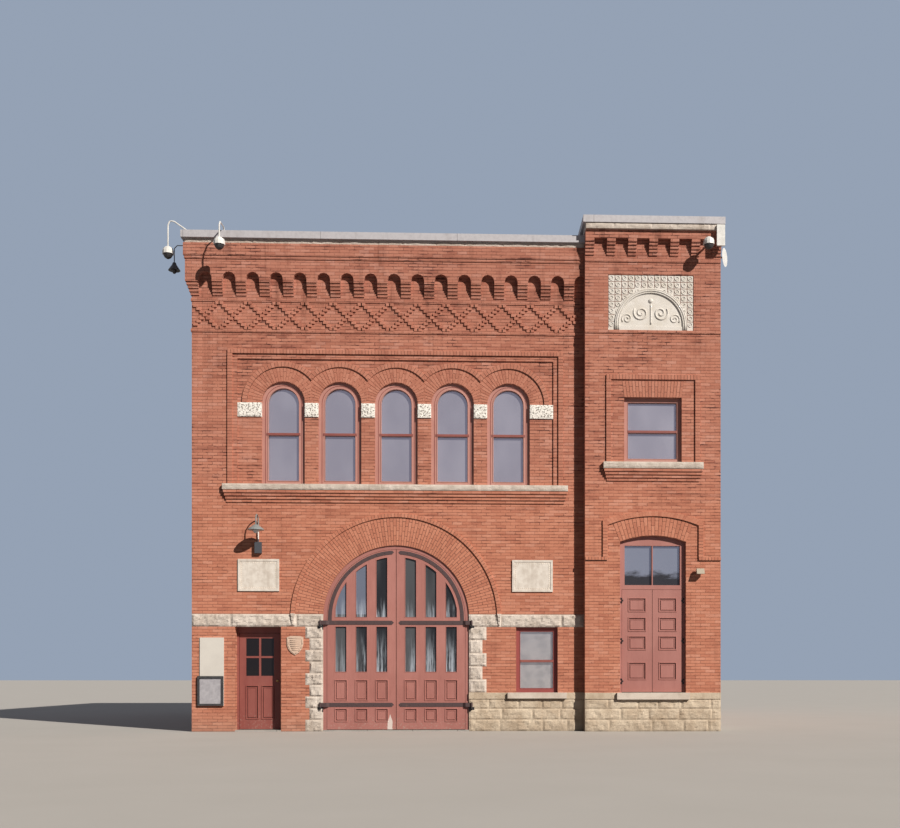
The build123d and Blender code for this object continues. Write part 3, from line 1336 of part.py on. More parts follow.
def notice_boards():
    edge = NOTICE_FRAME
    x1 = ENTRY_LEFT - NOTICE_FROM_DOOR
    x0 = x1 - NOTICE_WIDTH
    top = NOTICE_BOTTOM + NOTICE_HEIGHT
    board = box(x0, x1, FRONT - NOTICE_THICKNESS, FRONT, NOTICE_BOTTOM, top)
    middle = FRONT - NOTICE_THICKNESS / 2
    field = box(x0 + edge, x1 - edge, FRONT - NOTICE_THICKNESS, middle, NOTICE_BOTTOM + edge, top - edge)
    slab = box(x1 - SLAB_WIDTH, x1, FRONT - SLAB_THICKNESS, FRONT, top, top + SLAB_HEIGHT)
    return [board - field, slab]


def wall_lamp():
    """Gooseneck lamp with a saucer shade and a gear box on the wall."""
    x = LEFT_TABLET_X
    half = LAMP_BOX_WIDTH / 2
    low = TABLET_BOTTOM + TABLET_HEIGHT + LAMP_BOX_OVER_TABLET
    high = low + LAMP_BOX_HEIGHT
    top = TABLET_BOTTOM + TABLET_HEIGHT + LAMP_OVER_TABLET
    gear = box(x - half, x + half, FRONT - LAMP_BOX_DEPTH, FRONT, low, high)
    near = FRONT - LAMP_BOX_DEPTH / 2
    far = FRONT - LAMP_REACH
    bend = LAMP_BEND
    shade = top - 2 * bend
    arm = tube([
        (x, near, high), (x, near, top - bend), (x, near - bend * 0.3, top - bend * 0.3), (x, near - bend, top),
        (x, far + bend * 0.7, top), (x, far + bend * 0.2, top - bend * 0.3), (x, far, top - bend), (x, far, shade),
    ], LAMP_ARM_RADIUS)
    r = LAMP_SHADE_RADIUS
    h = LAMP_SHADE_HEIGHT
    slopes = [(shade - h, r), (shade - h * 0.7, r * 0.85), (shade - h * 0.3, r * 0.5), (shade, r / 4)]
    cover = turned(x, far, slopes, 16)
    g = LAMP_GLOBE_RADIUS
    rings = [(-1, 0.35), (-0.8, 0.65), (-0.45, 0.92), (0, 1)]
    globe = turned(x, far, [(shade - h + g * z, g * w) for z, w in rings], 12)
    return [gear + arm + cover + globe]


def main_sill_half():
    return FIELD_HALF + PANEL_SIDE + SILL_END


def tower_sill_half():
    return TOWER_WINDOW_WIDTH / 2 + TOWER_WINDOW_LABEL_SIDE + TOWER_LABEL_WIDTH + TOWER_SILL_END


def window_bands():
    """Raised arcs over the windows, each stopped where it meets the next."""
    inner = WINDOW_RADIUS + WINDOW_RING
    outer = inner + WINDOW_LABEL_WIDTH
    meeting = math.degrees(math.acos(WINDOW_PITCH / 2 / inner))
    foot = math.degrees(math.asin(IMPOST_OVER_SPRING / inner))
    bands = []
    for i in range(WINDOW_COUNT):
        first = foot if i == WINDOW_COUNT - 1 else meeting
        last = 180 - foot if i == 0 else 180 - meeting
        band = half_ring(WINDOW_XS[i], WINDOW_SPRING, inner, outer, MEDIUM_CHORDS, first, last)
        reach = 2 * outer
        left = WINDOW_XS[i] - (reach if i == 0 else WINDOW_PITCH / 2)
        right = WINDOW_XS[i] + (reach if i == WINDOW_COUNT - 1 else WINDOW_PITCH / 2)
        bands.append(band & rect(left, right, IMPOST_TOP, FIELD_TOP))
    return bands


def panel_label():
    """Raised course round the recessed field of the windows, down to the sill."""
    side = FIELD_HALF + PANEL_SIDE
    inner = FIELD_HALF + PANEL_BAND
    frame = rect(ARCH_X - side, ARCH_X + side, WINDOW_BOTTOM, PANEL_LABEL_TOP)
    return frame - rect(ARCH_X - inner, ARCH_X + inner, WINDOW_BOTTOM, PANEL_LABEL_TOP - PANEL_LABEL_RISE)


def tower_window_label():
    width = TOWER_LABEL_WIDTH
    side = TOWER_WINDOW_WIDTH / 2 + TOWER_WINDOW_LABEL_SIDE
    top = TOWER_WINDOW_TOP + TOWER_WINDOW_LABEL_RISE
    hood = rect(TOWER_X - side - width, TOWER_X + side + width, TOWER_WINDOW_BOTTOM, top)
    return hood - rect(TOWER_X - side, TOWER_X + side, TOWER_WINDOW_BOTTOM, top - width)


def tower_door_label():
    """Raised arc over the tower door, on upright sides with short returns."""
    width = TOWER_LABEL_WIDTH
    half = TOWER_DOOR_WIDTH / 2 + TOWER_DOOR_LABEL_SIDE
    feet = TOWER_DOOR_SPRING - TOWER_DOOR_LABEL_DROP
    shoulder = TOWER_DOOR_SPRING + TOWER_DOOR_LABEL_SHOULDER
    outer = segment_head(TOWER_X, half + width, feet, shoulder, TOWER_DOOR_LABEL_RISE)
    inner = segment_head(TOWER_X, half, feet, shoulder - width, TOWER_DOOR_LABEL_RISE)
    reach = TOWER_WIDTH / 2
    left = rect(TOWER_X - reach, TOWER_X - half, feet, feet + BRICK_COURSE)
    right = rect(TOWER_X + half, TOWER_X + reach, feet, feet + BRICK_COURSE)
    return outer - inner + left + right


def tower_lights():
    """The two panes over the tower door."""
    inner = TOWER_DOOR_WIDTH / 2 - TOWER_LIGHT_SIDE
    post = TOWER_LIGHT_POST / 2
    left = rect(TOWER_X - inner, TOWER_X - post, TOWER_LIGHT_BOTTOM, TOWER_LIGHT_TOP)
    right = rect(TOWER_X + post, TOWER_X + inner, TOWER_LIGHT_BOTTOM, TOWER_LIGHT_TOP)
    return left, right


def leaf_knuckle(x, y, z, wing):
    """The middle third of a butt hinge, on the plate that turns with the leaf."""
    length = HINGE_LENGTH / 3 - 2 * EYE_SEAT_CLEARANCE
    barrel = prism(x, y, z - length / 2, HINGE_RADIUS, length, ROD_SIDES)
    bore = prism(x, y, z - length / 2, HINGE_PIN_RADIUS + PIN_CLEARANCE, length, ROD_SIDES, flats=True)
    return barrel + wing - bore


def frame_knuckles(x, y, z, x0, x1, y0, y1):
    """The outer thirds of a butt hinge with their pin and plates."""
    third = HINGE_LENGTH / 3
    shape = prism(x, y, z - 1.5 * third, HINGE_PIN_RADIUS, HINGE_LENGTH, ROD_SIDES)
    for low in (z - 1.5 * third, z + third / 2):
        barrel = prism(x, y, low, HINGE_RADIUS, third, ROD_SIDES)
        shape = shape + barrel + box(x0, x1, y0, y1, low, low + third)
    return shape


def knob(x, y, z, way):
    """Round knob on a neck, turned about a line along Y."""
    reach = (0, 8, 9, 30, 42, 62, 78)
    widths = (1, 1, 0.5, 0.45, 0.95, 1, 0.5)
    rings = [(d, KNOB_RADIUS * w) for d, w in zip(reach, widths)]
    return Pos(x, y, z) * Rot(-90 * way, 0, 0) * turned(0, 0, rings, KNOB_SIDES)


def flood_light():
    """Small lamp on a box beside the tower door's head."""
    half = FLOOD_WIDTH / 2
    x = RIGHT - FLOOD_FROM_CORNER
    z = TOWER_DOOR_HEAD + FLOOD_OVER_HEAD
    foot = box(x - half / 2, x + half / 2, TOWER_FRONT - FLOOD_HEIGHT / 2, TOWER_FRONT, z, z + FLOOD_HEIGHT / 2)
    profile = [
        (TOWER_FRONT - FLOOD_HEIGHT / 2, z), (TOWER_FRONT - FLOOD_HEIGHT / 2, z + FLOOD_HEIGHT),
        (TOWER_FRONT - FLOOD_HEIGHT, z + FLOOD_HEIGHT), (TOWER_FRONT - 1.5 * FLOOD_HEIGHT, z),
    ]
    return foot + sideways(outline(profile), x - half, x + half)


def camera_cap(x, y, z):
    """Bell-shaped cover of a dome camera, hung with its rim at z."""
    r = CAMERA_RADIUS
    h = CAMERA_CAP_HEIGHT
    profile = ((0, 1), (0.4, 0.98), (0.7, 0.84), (0.9, 0.5), (1, 0.22))
    return turned(x, y, [(z + h * rise, r * share) for rise, share in profile], 12)


def camera_bowl(x, y, z):
    """Dark glass bowl under a dome camera's cover."""
    r = CAMERA_RADIUS
    h = CAMERA_BOWL_HEIGHT
    return turned(x, y, [(z - h, r * 0.25), (z - h * 0.75, r * 0.55), (z - h * 0.35, r * 0.76), (z, r * 0.84)], 12)


def camera_places():
    """Rim centres of the dome cameras: beside the roof's corner, before it, and on the tower."""
    top = PARAPET_TOP + COPING_HEIGHT
    low = top + CAMERA_RISE - CAMERA_DROP - CAMERA_CAP_HEIGHT
    left = (LEFT - COPING_OVERHANG - LEFT_CAMERA_REACH + CAMERA_RADIUS, FRONT + CAMERA_RADIUS, low)
    front_y = FRONT - COPING_OVERHANG - FRONT_CAMERA_REACH + CAMERA_RADIUS
    front = (LEFT + FRONT_CAMERA_FROM_CORNER, front_y, low - FRONT_CAMERA_DROP)
    face = TOWER_FRONT - TABLE_PROJECTION
    tower = (RIGHT - TOWER_CAMERA_FROM_CORNER, face - TOWER_CAMERA_REACH, TABLE_RECESS_BOTTOM + CAMERA_RADIUS)
    return left, front, tower


def wall_cameras():
    """Camera covers with their bent arms, the dish and the flat aerial of the tower."""
    left, front, tower = camera_places()
    top = PARAPET_TOP + COPING_HEIGHT
    r = CAMERA_ARM_RADIUS
    pieces = [camera_cap(*place) for place in (left, front, tower)]
    x, y, z = left
    hook = z + CAMERA_CAP_HEIGHT - r
    foot = LEFT
    pieces[0] = pieces[0] + tube([
        (foot, y, top), (foot, y, top + r), (x + 9 * r, y, top + CAMERA_RISE - r), (x + 5 * r, y, top + CAMERA_RISE),
        (x + 2 * r, y, top + CAMERA_RISE - r), (x, y, top + CAMERA_RISE - 6 * r), (x, y, hook),
    ], r)
    x, y, z = front
    hook = z + CAMERA_CAP_HEIGHT - r
    foot = FRONT - COPING_OVERHANG + 2 * r
    pieces[1] = pieces[1] + tube([
        (x, foot, top), (x, foot, top + r), (x, foot - 3 * r, top + 4 * r), (x, y + 5 * r, top + 2 * r),
        (x, y, top - 4 * r), (x, y, hook),
    ], r)
    x, y, z = tower
    lift = z + CAMERA_CAP_HEIGHT / 2
    pieces[2] = pieces[2] + box(x - r, x + r, y, TOWER_FRONT, lift - r, lift + r)
    return pieces + [dish(), flat_aerial()]


def dish():
    """Round dish on a short arm at the tower's right side."""
    x = RIGHT + DISH_REACH
    y = TOWER_FRONT + DISH_FROM_FRONT
    z = TABLE_BOTTOM + DISH_RADIUS
    rings = [(0, DISH_RADIUS * 0.5), (DISH_THICKNESS, DISH_RADIUS)]
    bowl = Pos(x, y, z) * Rot(0, 0, -DISH_TURN) * Rot(0, 90, 0) * turned(0, 0, rings, 16)
    r = CAMERA_ARM_RADIUS
    return bowl + box(RIGHT, x + DISH_THICKNESS / 2, y - r, y + r, z - r, z + r)


def flat_aerial():
    face = TOWER_FRONT - TOWER_FRIEZE_PROJECTION
    x1 = RIGHT + PANEL_AERIAL_WIDTH / 4
    z1 = TOWER_TOP - PANEL_AERIAL_THICKNESS / 2
    z0 = z1 - PANEL_AERIAL_HEIGHT
    return box(x1 - PANEL_AERIAL_WIDTH, x1, face - PANEL_AERIAL_THICKNESS, face, z0, z1)


def camera_bowls():
    """Dark bowls of the cameras and the small dark lamp at the left side."""
    pieces = [camera_bowl(*place) for place in camera_places()]
    return pieces + [side_lamp()]


def side_lamp():
    """Lamp with a conical shade, on an arm from the left end of the coping."""
    x, y, z = camera_places()[0]
    x = x + SIDE_LAMP_FROM_CAMERA
    y = y + SIDE_LAMP_BEHIND_CAMERA
    rim = z - SIDE_LAMP_UNDER_CAMERA
    apex = rim + SIDE_LAMP_HEIGHT
    bend = SIDE_LAMP_RADIUS / 2
    lift = PARAPET_TOP + COPING_HEIGHT / 2
    r = CAMERA_ARM_RADIUS * 0.7
    wall = LEFT - COPING_OVERHANG
    arm = tube([(wall, y, lift), (x + bend, y, lift), (x, y, lift - bend), (x, y, apex - 2 * r)], r)
    wide = SIDE_LAMP_RADIUS
    shade = turned(x, y, [(rim, wide), (rim + SIDE_LAMP_HEIGHT * 0.7, wide * 0.4), (apex, wide * 0.25)], 12)
    bulb = turned(x, y, [(rim - bend, wide * 0.2), (rim, wide * 0.45)], 12)
    return arm + shade + bulb


def wall_pieces():
    left, middle, right = ground_walls()
    return {
        "front_wall_left": left,
        "front_wall_middle": middle,
        "front_wall_right": right,
        "arch_wall": arch_wall(),
        "upper_front_wall": upper_front_wall(),
        "front_cornice": front_cornice(),
        "left_cornice": left_cornice(),
        "left_wall": left_wall(),
        "right_wall": right_wall(),
        "right_base": right_base(),
        "back_wall": back_wall(),
        "tower_jambs": group(tower_jambs()),
        "tower_middle_wall": tower_middle_wall(),
        "tower_upper_wall": tower_upper_wall(),
        "tower_corbel_table": tower_corbel_table(),
        "tower_parapet": tower_parapet(),
    }


def stone_pieces():
    sills = [main_sill(), ground_sill(), tower_sill(), tower_door_sill()]
    for places in (left_places(), right_places(), back_places()):
        sills += place_all(places, plain_sills())
    return {
        "base_stones": group(base_stones()),
        "belt_stones": group(belt_stones()),
        "quoins": group(quoins()),
        "stone_sills": group(sills),
        "impost_stones": group(impost_stones()),
        "frieze_stones": group(frieze_stones()),
        "arch_label": arch_label(),
        "raised_labels": group(window_labels() + tower_labels()),
        "tower_plaque": tower_plaque(),
        "wall_tablets": group([tablet(LEFT_TABLET_X), tablet(RIGHT_TABLET_X), shield_plaque()]),
    }


def floor_pieces():
    return {
        "ground_floor": ground_floor(),
        "tower_floor": tower_floor(),
        "upper_floor": upper_floor(),
        "main_roof": main_roof(),
        "tower_roof": tower_roof(),
        "main_coping": main_coping(),
        "tower_coping": tower_coping(),
    }


def window_pieces():
    places = left_places() + right_places() + back_places()
    return {
        "door_arch_frame": door_arch_frame(),
        "entry_door_frame": entry_door_frame(),
        "tower_door_frame": tower_door_frame(),
        "front_window_frames": group(upper_window_frames() + front_frames()),
        "front_window_glass": group(upper_window_glass() + front_glass() + transom_glass()),
        "window_blinds": group(window_blinds()),
        "plain_window_frames": group(place_all(places, plain_frames())),
        "plain_window_glass": group(place_all(places, plain_glass())),
    }


def fitting_pieces():
    return {
        "notice_boards": group(notice_boards()),
        "wall_lamp": group(wall_lamp() + [flood_light()]),
        "wall_cameras": group(wall_cameras()),
        "camera_bowls": group(camera_bowls()),
        "door_pintles": group(door_pintles()),
        "fixed_hinges": group(fixed_hinges()),
    }


def door_pieces():
    pieces = {
        "entry_door_leaf": entry_leaf(),
        "entry_door_glass": group(entry_glass()),
        "entry_door_hardware": group(entry_hardware()),
    }
    for name, side in (("left", -1), ("right", 1)):
        pieces[f"apparatus_{name}_leaf"] = apparatus_leaf(side)
        pieces[f"apparatus_{name}_glass"] = group(apparatus_glass(side))
        pieces[f"apparatus_{name}_ironwork"] = group(apparatus_ironwork(side))
        pieces[f"tower_door_{name}_leaf"] = tower_leaf(side)
        pieces[f"tower_door_{name}_hardware"] = group(tower_hardware(side))
    return pieces


def build():
    os.makedirs("parts", exist_ok=True)
    for pieces in (wall_pieces(), stone_pieces(), floor_pieces(), window_pieces(), fitting_pieces(), door_pieces()):
        for name, shape in pieces.items():
            write(name, shape)


build()
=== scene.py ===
import math

import bpy
from mathutils import Matrix, Vector, noise


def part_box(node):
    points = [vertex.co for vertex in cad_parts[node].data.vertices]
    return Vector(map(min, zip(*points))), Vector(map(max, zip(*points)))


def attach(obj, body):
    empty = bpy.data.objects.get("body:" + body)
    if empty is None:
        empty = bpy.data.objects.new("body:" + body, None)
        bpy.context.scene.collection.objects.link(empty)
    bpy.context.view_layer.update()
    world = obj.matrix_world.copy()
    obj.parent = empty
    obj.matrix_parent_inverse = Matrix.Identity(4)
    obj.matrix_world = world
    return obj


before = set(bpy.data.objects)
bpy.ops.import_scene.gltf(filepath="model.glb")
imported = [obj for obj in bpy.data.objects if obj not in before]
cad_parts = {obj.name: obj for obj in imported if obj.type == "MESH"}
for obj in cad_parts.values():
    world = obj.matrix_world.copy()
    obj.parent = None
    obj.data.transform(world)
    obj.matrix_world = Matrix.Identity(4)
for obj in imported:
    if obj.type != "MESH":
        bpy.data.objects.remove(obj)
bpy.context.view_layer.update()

# Brickwork, in metres as all sizes here
COURSE = 0.0685
BRICK = 0.216
HEADER = 0.108
JOINT = 0.008
CHAMFER = 0.003
PROUD = 0.006
BRICK_BACK = 0.004
MORTAR_PROUD = 0.001
SHORTEST_BRICK = 0.05
SMALLEST_CUT = 4e-4
STRING_HEIGHT = COURSE

# Arches: their rings, the raised labels round them and the size of their bricks
ARCH_RING = 0.628
ARCH_BRICKS = 92
WINDOW_RADIUS = 0.475
WINDOW_PITCH = 1.249
WINDOW_COUNT = 5
WINDOW_RING = 0.325
WINDOW_BRICKS = 30
FIELD_RECESS = 0.03
LABEL_PROUD = 0.030
LABEL_PITCH = 0.072
LABEL_FACE = 0.004
ARCH_LABEL = (2.242, 2.332)
WINDOW_LABEL = (0.798, 0.907)
PANEL_HALF = (3.608, 3.717)
PANEL_TOP = (8.358, 8.447)
TOWER_HOOD_HALF = (0.9375, 1.0455)
TOWER_HOOD_TOP = (7.799, 7.907)
TOWER_ARCH_LABEL = ((1.014, 4.569), (1.122, 4.677))
TOWER_ARCH_RISE = 0.20
TOWER_ARCH_FEET = 3.795
TOWER_ARCH_RING = 0.42
RING_CHORDS = 60

# Diaper band: diamonds of raised headers
DIAPER_PERIOD = 0.625
DIAPER_ROWS = 9
DIAPER_PROUD = 0.030
DIAPER_START = 0.292
DIAPER_DROP = 0.012

# Upright bricks over flat-headed windows
SOLDIER_CUTS = (0.66, 0.33)
HEAD_LEAN = 0.05
TOWER_HEAD = 0.36
PLAIN_HEAD = 0.30
PLAIN_HALF = 0.465
PLAIN_TOPS = (2.32, 7.28)
SIDE_WINDOW_YS = (-5.625, -1.875, 1.875, 5.625)
BACK_WINDOW_XS = (-3.6, 0.0, 3.6)

# Stones: how far their rough faces swell, and the grid of these faces
ROCK_BULGE = 0.034
BASE_BULGE = 0.022
TRIM_BULGE = 0.015
ROCK_MARGIN = 0.003
ROCK_SLOPE = 0.035
ROCK_BACK = 0.006
ROCK_GRID = (0.045, 0.035)
ROCK_COLUMNS = (4, 26)
ROCK_ROWS = (3, 12)
SHORTEST_STONE = 0.12
QUOIN_LONG = 0.39
QUOIN_SHORT = 0.30
QUOIN_HEIGHT = 0.270
BASE_BEDS = (0.0, 0.26, 0.50)
BASE_END = 0.33
LEDGE_HEIGHT = 0.14
SILL_PROUD = 0.09
MAIN_SILL_HALF = 3.82
MAIN_SILL_HEIGHT = 0.13
TOWER_SILL_HALF = 1.1135
TOWER_SILL_HEIGHT = 0.145
IMPOST_MARGIN = 0.004
IMPOST_CARVING = 0.012
STOP_BLOCKS = 3
STOP_HALF = 0.052
STOP_TAPER = 0.012
STOP_LIFT = 0.01
STOP_PITCH = 0.085
STOP_HEIGHT = 0.082
STOP_PROUD = 0.062

# Tower plaque: square tiles round a half-round field
PLAQUE_RECESS = 0.015
PLAQUE_TILES = 13
TILE_JOINT = 0.012
TILE_RING = (0.22, 0.36)
TILE_BOSS = 0.11
TILE_RISE = 0.012
TILE_BEDS = (0.0015, 0.0012)
LUNETTE_HALF = 0.81
LUNETTE_HEIGHT = 0.93
LUNETTE_ROLLS = ((0.012, 0.014), (0.048, 0.024), (0.090, 0.016))
LUNETTE_CHORDS = 32
ROLL_LIFT = 0.014
ROLL_FOOT = 0.012
SCROLLS = ((0.22, 0.39, 0.17, 1, 0.020), (0.53, 0.26, 0.12, -1, 0.017))
STEM_FOOT = 0.14
STEM_LENGTH = 0.44
STEM_PARTS = 8
STEM_RADIUS = 0.018
FINIAL_RISE = 0.66
FINIAL_RADIUS = 0.055
FINIAL_HEIGHT = 0.03

# Tablets, shield and notice board
TABLET_OFFSET = 3.032
TABLET_HEIGHT = 0.708
TABLET_FACE = 0.020
BORDER_HALF = 0.375
BORDER_MARGIN = 0.075
BORDER_BOSS = 0.013
BORDER_COUNTS = (16, 12)
STUD_RISE = 0.008
SHIELD_GAP = 0.043
SHIELD_HALF = 0.1805
SHIELD_RIM = ((-0.145, 0.37), (-0.155, 0.23), (-0.125, 0.14), (-0.075, 0.07), (0, 0.025))
SHIELD_BEAD = 0.008
RIB_COUNT = 6
RIB_RADIUS = 0.009
RIB_HALF = 0.115
RIB_TAPER = 0.014
RIB_FOOT = 0.11
RIB_PITCH = 0.042
NOTICE_WIDTH = 0.573
NOTICE_HEIGHT = 0.655
NOTICE_EDGE = 0.045
NOTICE_FACE = 0.055
NOTICE_BACK = 0.02
SHEET_FACE = 0.027

# Windows: stiles round the panes, meeting rails and the dark line round each arched sash
TOWER_WINDOW_WIDTH = 1.285
TOWER_WINDOW_LOW = 5.965
TOWER_WINDOW_HIGH = 7.405
GROUND_WINDOW_FROM_TOWER = 1.05
SASH_RECESS = 0.09
SASH_STILE = 0.09
SASH_BEAD = 0.011
ROUND_STILE = 0.13
ROUND_CHORDS = 16
ROUND_MEETING = 1.130
TOWER_MEETING = 0.70
GROUND_MEETING = 0.705
RAIL_HALF = 0.026
RAIL_LAP = 0.03
RAIL_PROUD = 0.012
RAIL_BACK = 0.02
LINE_RADIUS = 0.007
LINE_GAP = 0.055
LINE_FOOT = 0.012

# Doors: mouldings, lights, panels, straps and a spill on the paint
LEAVES = ((-1, "left"), (1, "right"))
BEAD = 0.014
BEAD_SINK = 0.001
LIGHT_WIDTH = 0.25
LIGHT_OFFSETS = (0.32, 0.77, 1.225)
LOW_LIGHT = (1.316, 2.327)
HIGH_LIGHT_RADIUS = 1.367
HIGH_LIGHT_RISE = 0.02
LIGHT_CHORDS = 6
ENGINE_PANELS = ((0.218, 0.500), (0.687, 1.138))
ENGINE_PANEL_HALF = 0.133
TOWER_DOOR_WIDTH = 1.47
TOWER_DOOR_SPRING = 4.205
TOWER_DOOR_RISE = 0.138
TOWER_PANELS = ((0.279, 0.375), (0.941, 0.298), (1.355, 0.298), (1.790, 0.298))
TOWER_STILE = 0.145
ENTRY_PANEL = (0.27, 1.01)
ENTRY_STILE = 0.145
ENTRY_MULLION = 0.08
PANEL_MARGIN = 0.045
PANEL_BEAD = 0.026
FIELD_BEAD = 0.016
FIELD_DROP = 0.006
BOLT_RADIUS = 0.011
BOLT_START = 0.12
BOLT_GAP = 0.19
STRAP_BOLTS = 7
STRAP_FACE = 0.008
LOW_STRAP = 0.589
HIGH_STRAP_DROP = 0.097
CURVED_STRAP = 1.467
CURVED_BOLTS = 12
CURVED_START = math.radians(4)
CURVED_STEP = math.radians(6.9)
SPILL_X = -1.49
SPILL_HALF = 0.078
SPILL_KNEE = 0.22
SPILL_TAPER = 0.32
LEAF_MIDDLE = 0.03

# Heights at which the parts of one node change their finish
SHIELD_TOP = 2.5
GROUND_PANES_TOP = 2.6
GROUND_FRAMES_TOP = 3.5
FLOOD_LIGHT_TOP = 3.75
GEAR_BOX_TOP = 4.25
GLOBE_TOP = 4.412
TRANSOM_PANES_TOP = 5.0
SOOT_START = 7.6
SOOT_END = 10.2

# Camera of the photograph: place, turn and lens
PHOTO_WIDTH = 900
PHOTO_HEIGHT = 828
FOCAL_PIXELS = 1077.27
CENTRE_PIXEL = (500, 677.29)
CAMERA_PLACE = (0.0883, -31.5, 1.2)
CAMERA_TURN = math.radians(-2.063)
SENSOR = 36
VIEW_REACH = 1000

# Key light: the way its light travels, its strength, width and colour
SUN_WAY = Vector((-0.92, 1.0, -0.92))
SUN_STRENGTH = 5.25
SUN_WIDTH = math.radians(0.8)
SUN_COLOUR = (1.0, 0.93, 0.84)

# Floor: how far it reaches from the building
FLOOR_REACH = 400

# Places read from the frame
WALL_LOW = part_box("front_wall_left")[0]
LEFT = WALL_LOW.x
FRONT = WALL_LOW.y
TOWER_LOW, TOWER_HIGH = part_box("tower_jambs")
TOWER_LEFT = TOWER_LOW.x
RIGHT = TOWER_HIGH.x
TOWER_FRONT = TOWER_LOW.y
TOWER_X = (TOWER_LEFT + RIGHT) / 2
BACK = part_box("back_wall")[1].y
ARCH_LOW, ARCH_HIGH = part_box("door_arch_frame")
ARCH_X = (ARCH_LOW.x + ARCH_HIGH.x) / 2
ARCH_RADIUS = (ARCH_HIGH.x - ARCH_LOW.x) / 2
ARCH_SPRING = ARCH_HIGH.z - ARCH_RADIUS
BELT_LOW, BELT_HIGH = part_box("belt_stones")
BASE_TOP = TOWER_LOW.z
IMPOST_LOW, IMPOST_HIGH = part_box("impost_stones")
WINDOW_SPRING = IMPOST_HIGH.z
CORNICE_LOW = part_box("front_cornice")[0]
PLAQUE_LOW, PLAQUE_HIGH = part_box("tower_plaque")
PLAQUE_X = (PLAQUE_LOW.x + PLAQUE_HIGH.x) / 2
PLAQUE_FACE = TOWER_FRONT + PLAQUE_RECESS
LUNETTE_SPRING = PLAQUE_LOW.z + LUNETTE_HEIGHT - LUNETTE_HALF
SILL_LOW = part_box("upper_front_wall")[0].z
SILL_TOP = SILL_LOW + MAIN_SILL_HEIGHT
TABLETS_LOW, TABLETS_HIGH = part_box("wall_tablets")
WINDOW_XS = [ARCH_X + WINDOW_PITCH * (i - (WINDOW_COUNT - 1) / 2) for i in range(WINDOW_COUNT)]


# Node trees

class Shader:
    """A node tree with short calls for what the materials here need."""

    def __init__(self, tree):
        self.tree = tree

    def add(self, kind, **settings):
        node = self.tree.nodes.new(kind)
        for name, value in settings.items():
            setattr(node, name, value)
        return node

    def put(self, socket, value):
        """Link a socket to the input, or set the constant on it."""
        if isinstance(value, bpy.types.NodeSocket):
            self.tree.links.new(value, socket)
        elif value is not None:
            socket.default_value = value

    def math(self, operation, a, b=None, c=None):
        node = self.add("ShaderNodeMath", operation=operation)
        for socket, value in zip(node.inputs, (a, b, c)):
            self.put(socket, value)
        return node.outputs[0]

    def clamped(self, value, low, high):
        """Value spread from 0 at low to 1 at high."""
        node = self.add("ShaderNodeMapRange", interpolation_type="SMOOTHSTEP")
        self.put(node.inputs["Value"], value)
        self.put(node.inputs["From Min"], low)
        self.put(node.inputs["From Max"], high)
        return node.outputs["Result"]

    def mix(self, share, a, b):
        node = self.add("ShaderNodeMix", data_type="RGBA")
        self.put(node.inputs[0], share)
        self.put(node.inputs[6], a)
        self.put(node.inputs[7], b)
        return node.outputs[2]

    def darken(self, colour, share, factor):
        """Multiply a colour by a darker or lighter tone where a mask says so."""
        node = self.add("ShaderNodeMix", data_type="RGBA", blend_type="MULTIPLY")
        self.put(node.inputs[0], share)
        self.put(node.inputs[6], colour)
        self.put(node.inputs[7], factor)
        return node.outputs[2]

    def noise(self, vector, scale, detail=3.0, roughness=0.55):
        node = self.add("ShaderNodeTexNoise")
        self.put(node.inputs["Vector"], vector)
        self.put(node.inputs["Scale"], scale)
        self.put(node.inputs["Detail"], detail)
        self.put(node.inputs["Roughness"], roughness)
        return node.outputs["Fac"]

    def stretch(self, vector, x, y, z):
        node = self.add("ShaderNodeMapping")
        self.put(node.inputs["Vector"], vector)
        node.inputs["Scale"].default_value = (x, y, z)
        return node.outputs["Vector"]

    def place(self):
        """Where a point lies at rest, in metres of the shared frame."""
        return self.add("ShaderNodeTexCoord").outputs["Object"]

    def split(self, vector):
        node = self.add("ShaderNodeSeparateXYZ")
        self.put(node.inputs[0], vector)
        return node.outputs

    def height(self):
        """Height over the ground."""
        return self.split(self.place())["Z"]

    def to_whole(self, value):
        """How far a value lies from the nearest whole number."""
        share = self.math("FRACT", value)
        return self.math("MINIMUM", share, self.math("SUBTRACT", 1.0, share))

    def join(self, x, y, z=0.0):
        node = self.add("ShaderNodeCombineXYZ")
        for socket, value in zip(node.inputs, (x, y, z)):
            self.put(socket, value)
        return node.outputs[0]

    def bump(self, height, distance, strength=1.0):
        node = self.add("ShaderNodeBump")
        self.put(node.inputs["Strength"], strength)
        self.put(node.inputs["Distance"], distance)
        self.put(node.inputs["Height"], height)
        return node.outputs["Normal"]

    def use(self, group, **values):
        """Place a node group and give its inputs."""
        node = self.add("ShaderNodeGroup")
        node.node_tree = group
        for name, value in values.items():
            self.put(node.inputs[name], value)
        return node.outputs

    def blotches(self, scale, detail, roughness, start=0.35, end=0.7):
        """Plain noise and mask of uneven patches."""
        return self.use(BLOTCHES, Scale=scale, Detail=detail, Roughness=roughness, Start=start, End=end)

    def stained(self, colour, strength, tint):
        """A colour with darker runs."""
        return self.use(STAINS, Colour=colour, Strength=strength, Tint=tint)["Colour"]


def new_group(name, inputs, outputs):
    """An empty node group: inputs as (name, type, default), outputs as (name, type)."""
    tree = bpy.data.node_groups.new(name, "ShaderNodeTree")
    for title, kind, value in inputs:
        socket = tree.interface.new_socket(title, in_out="INPUT", socket_type=kind)
        if value is not None:
            socket.default_value = value
    for title, kind in outputs:
        tree.interface.new_socket(title, in_out="OUTPUT", socket_type=kind)
    shader = Shader(tree)
    source = shader.add("NodeGroupInput").outputs
    target = shader.add("NodeGroupOutput").inputs
    return tree, shader, source, target


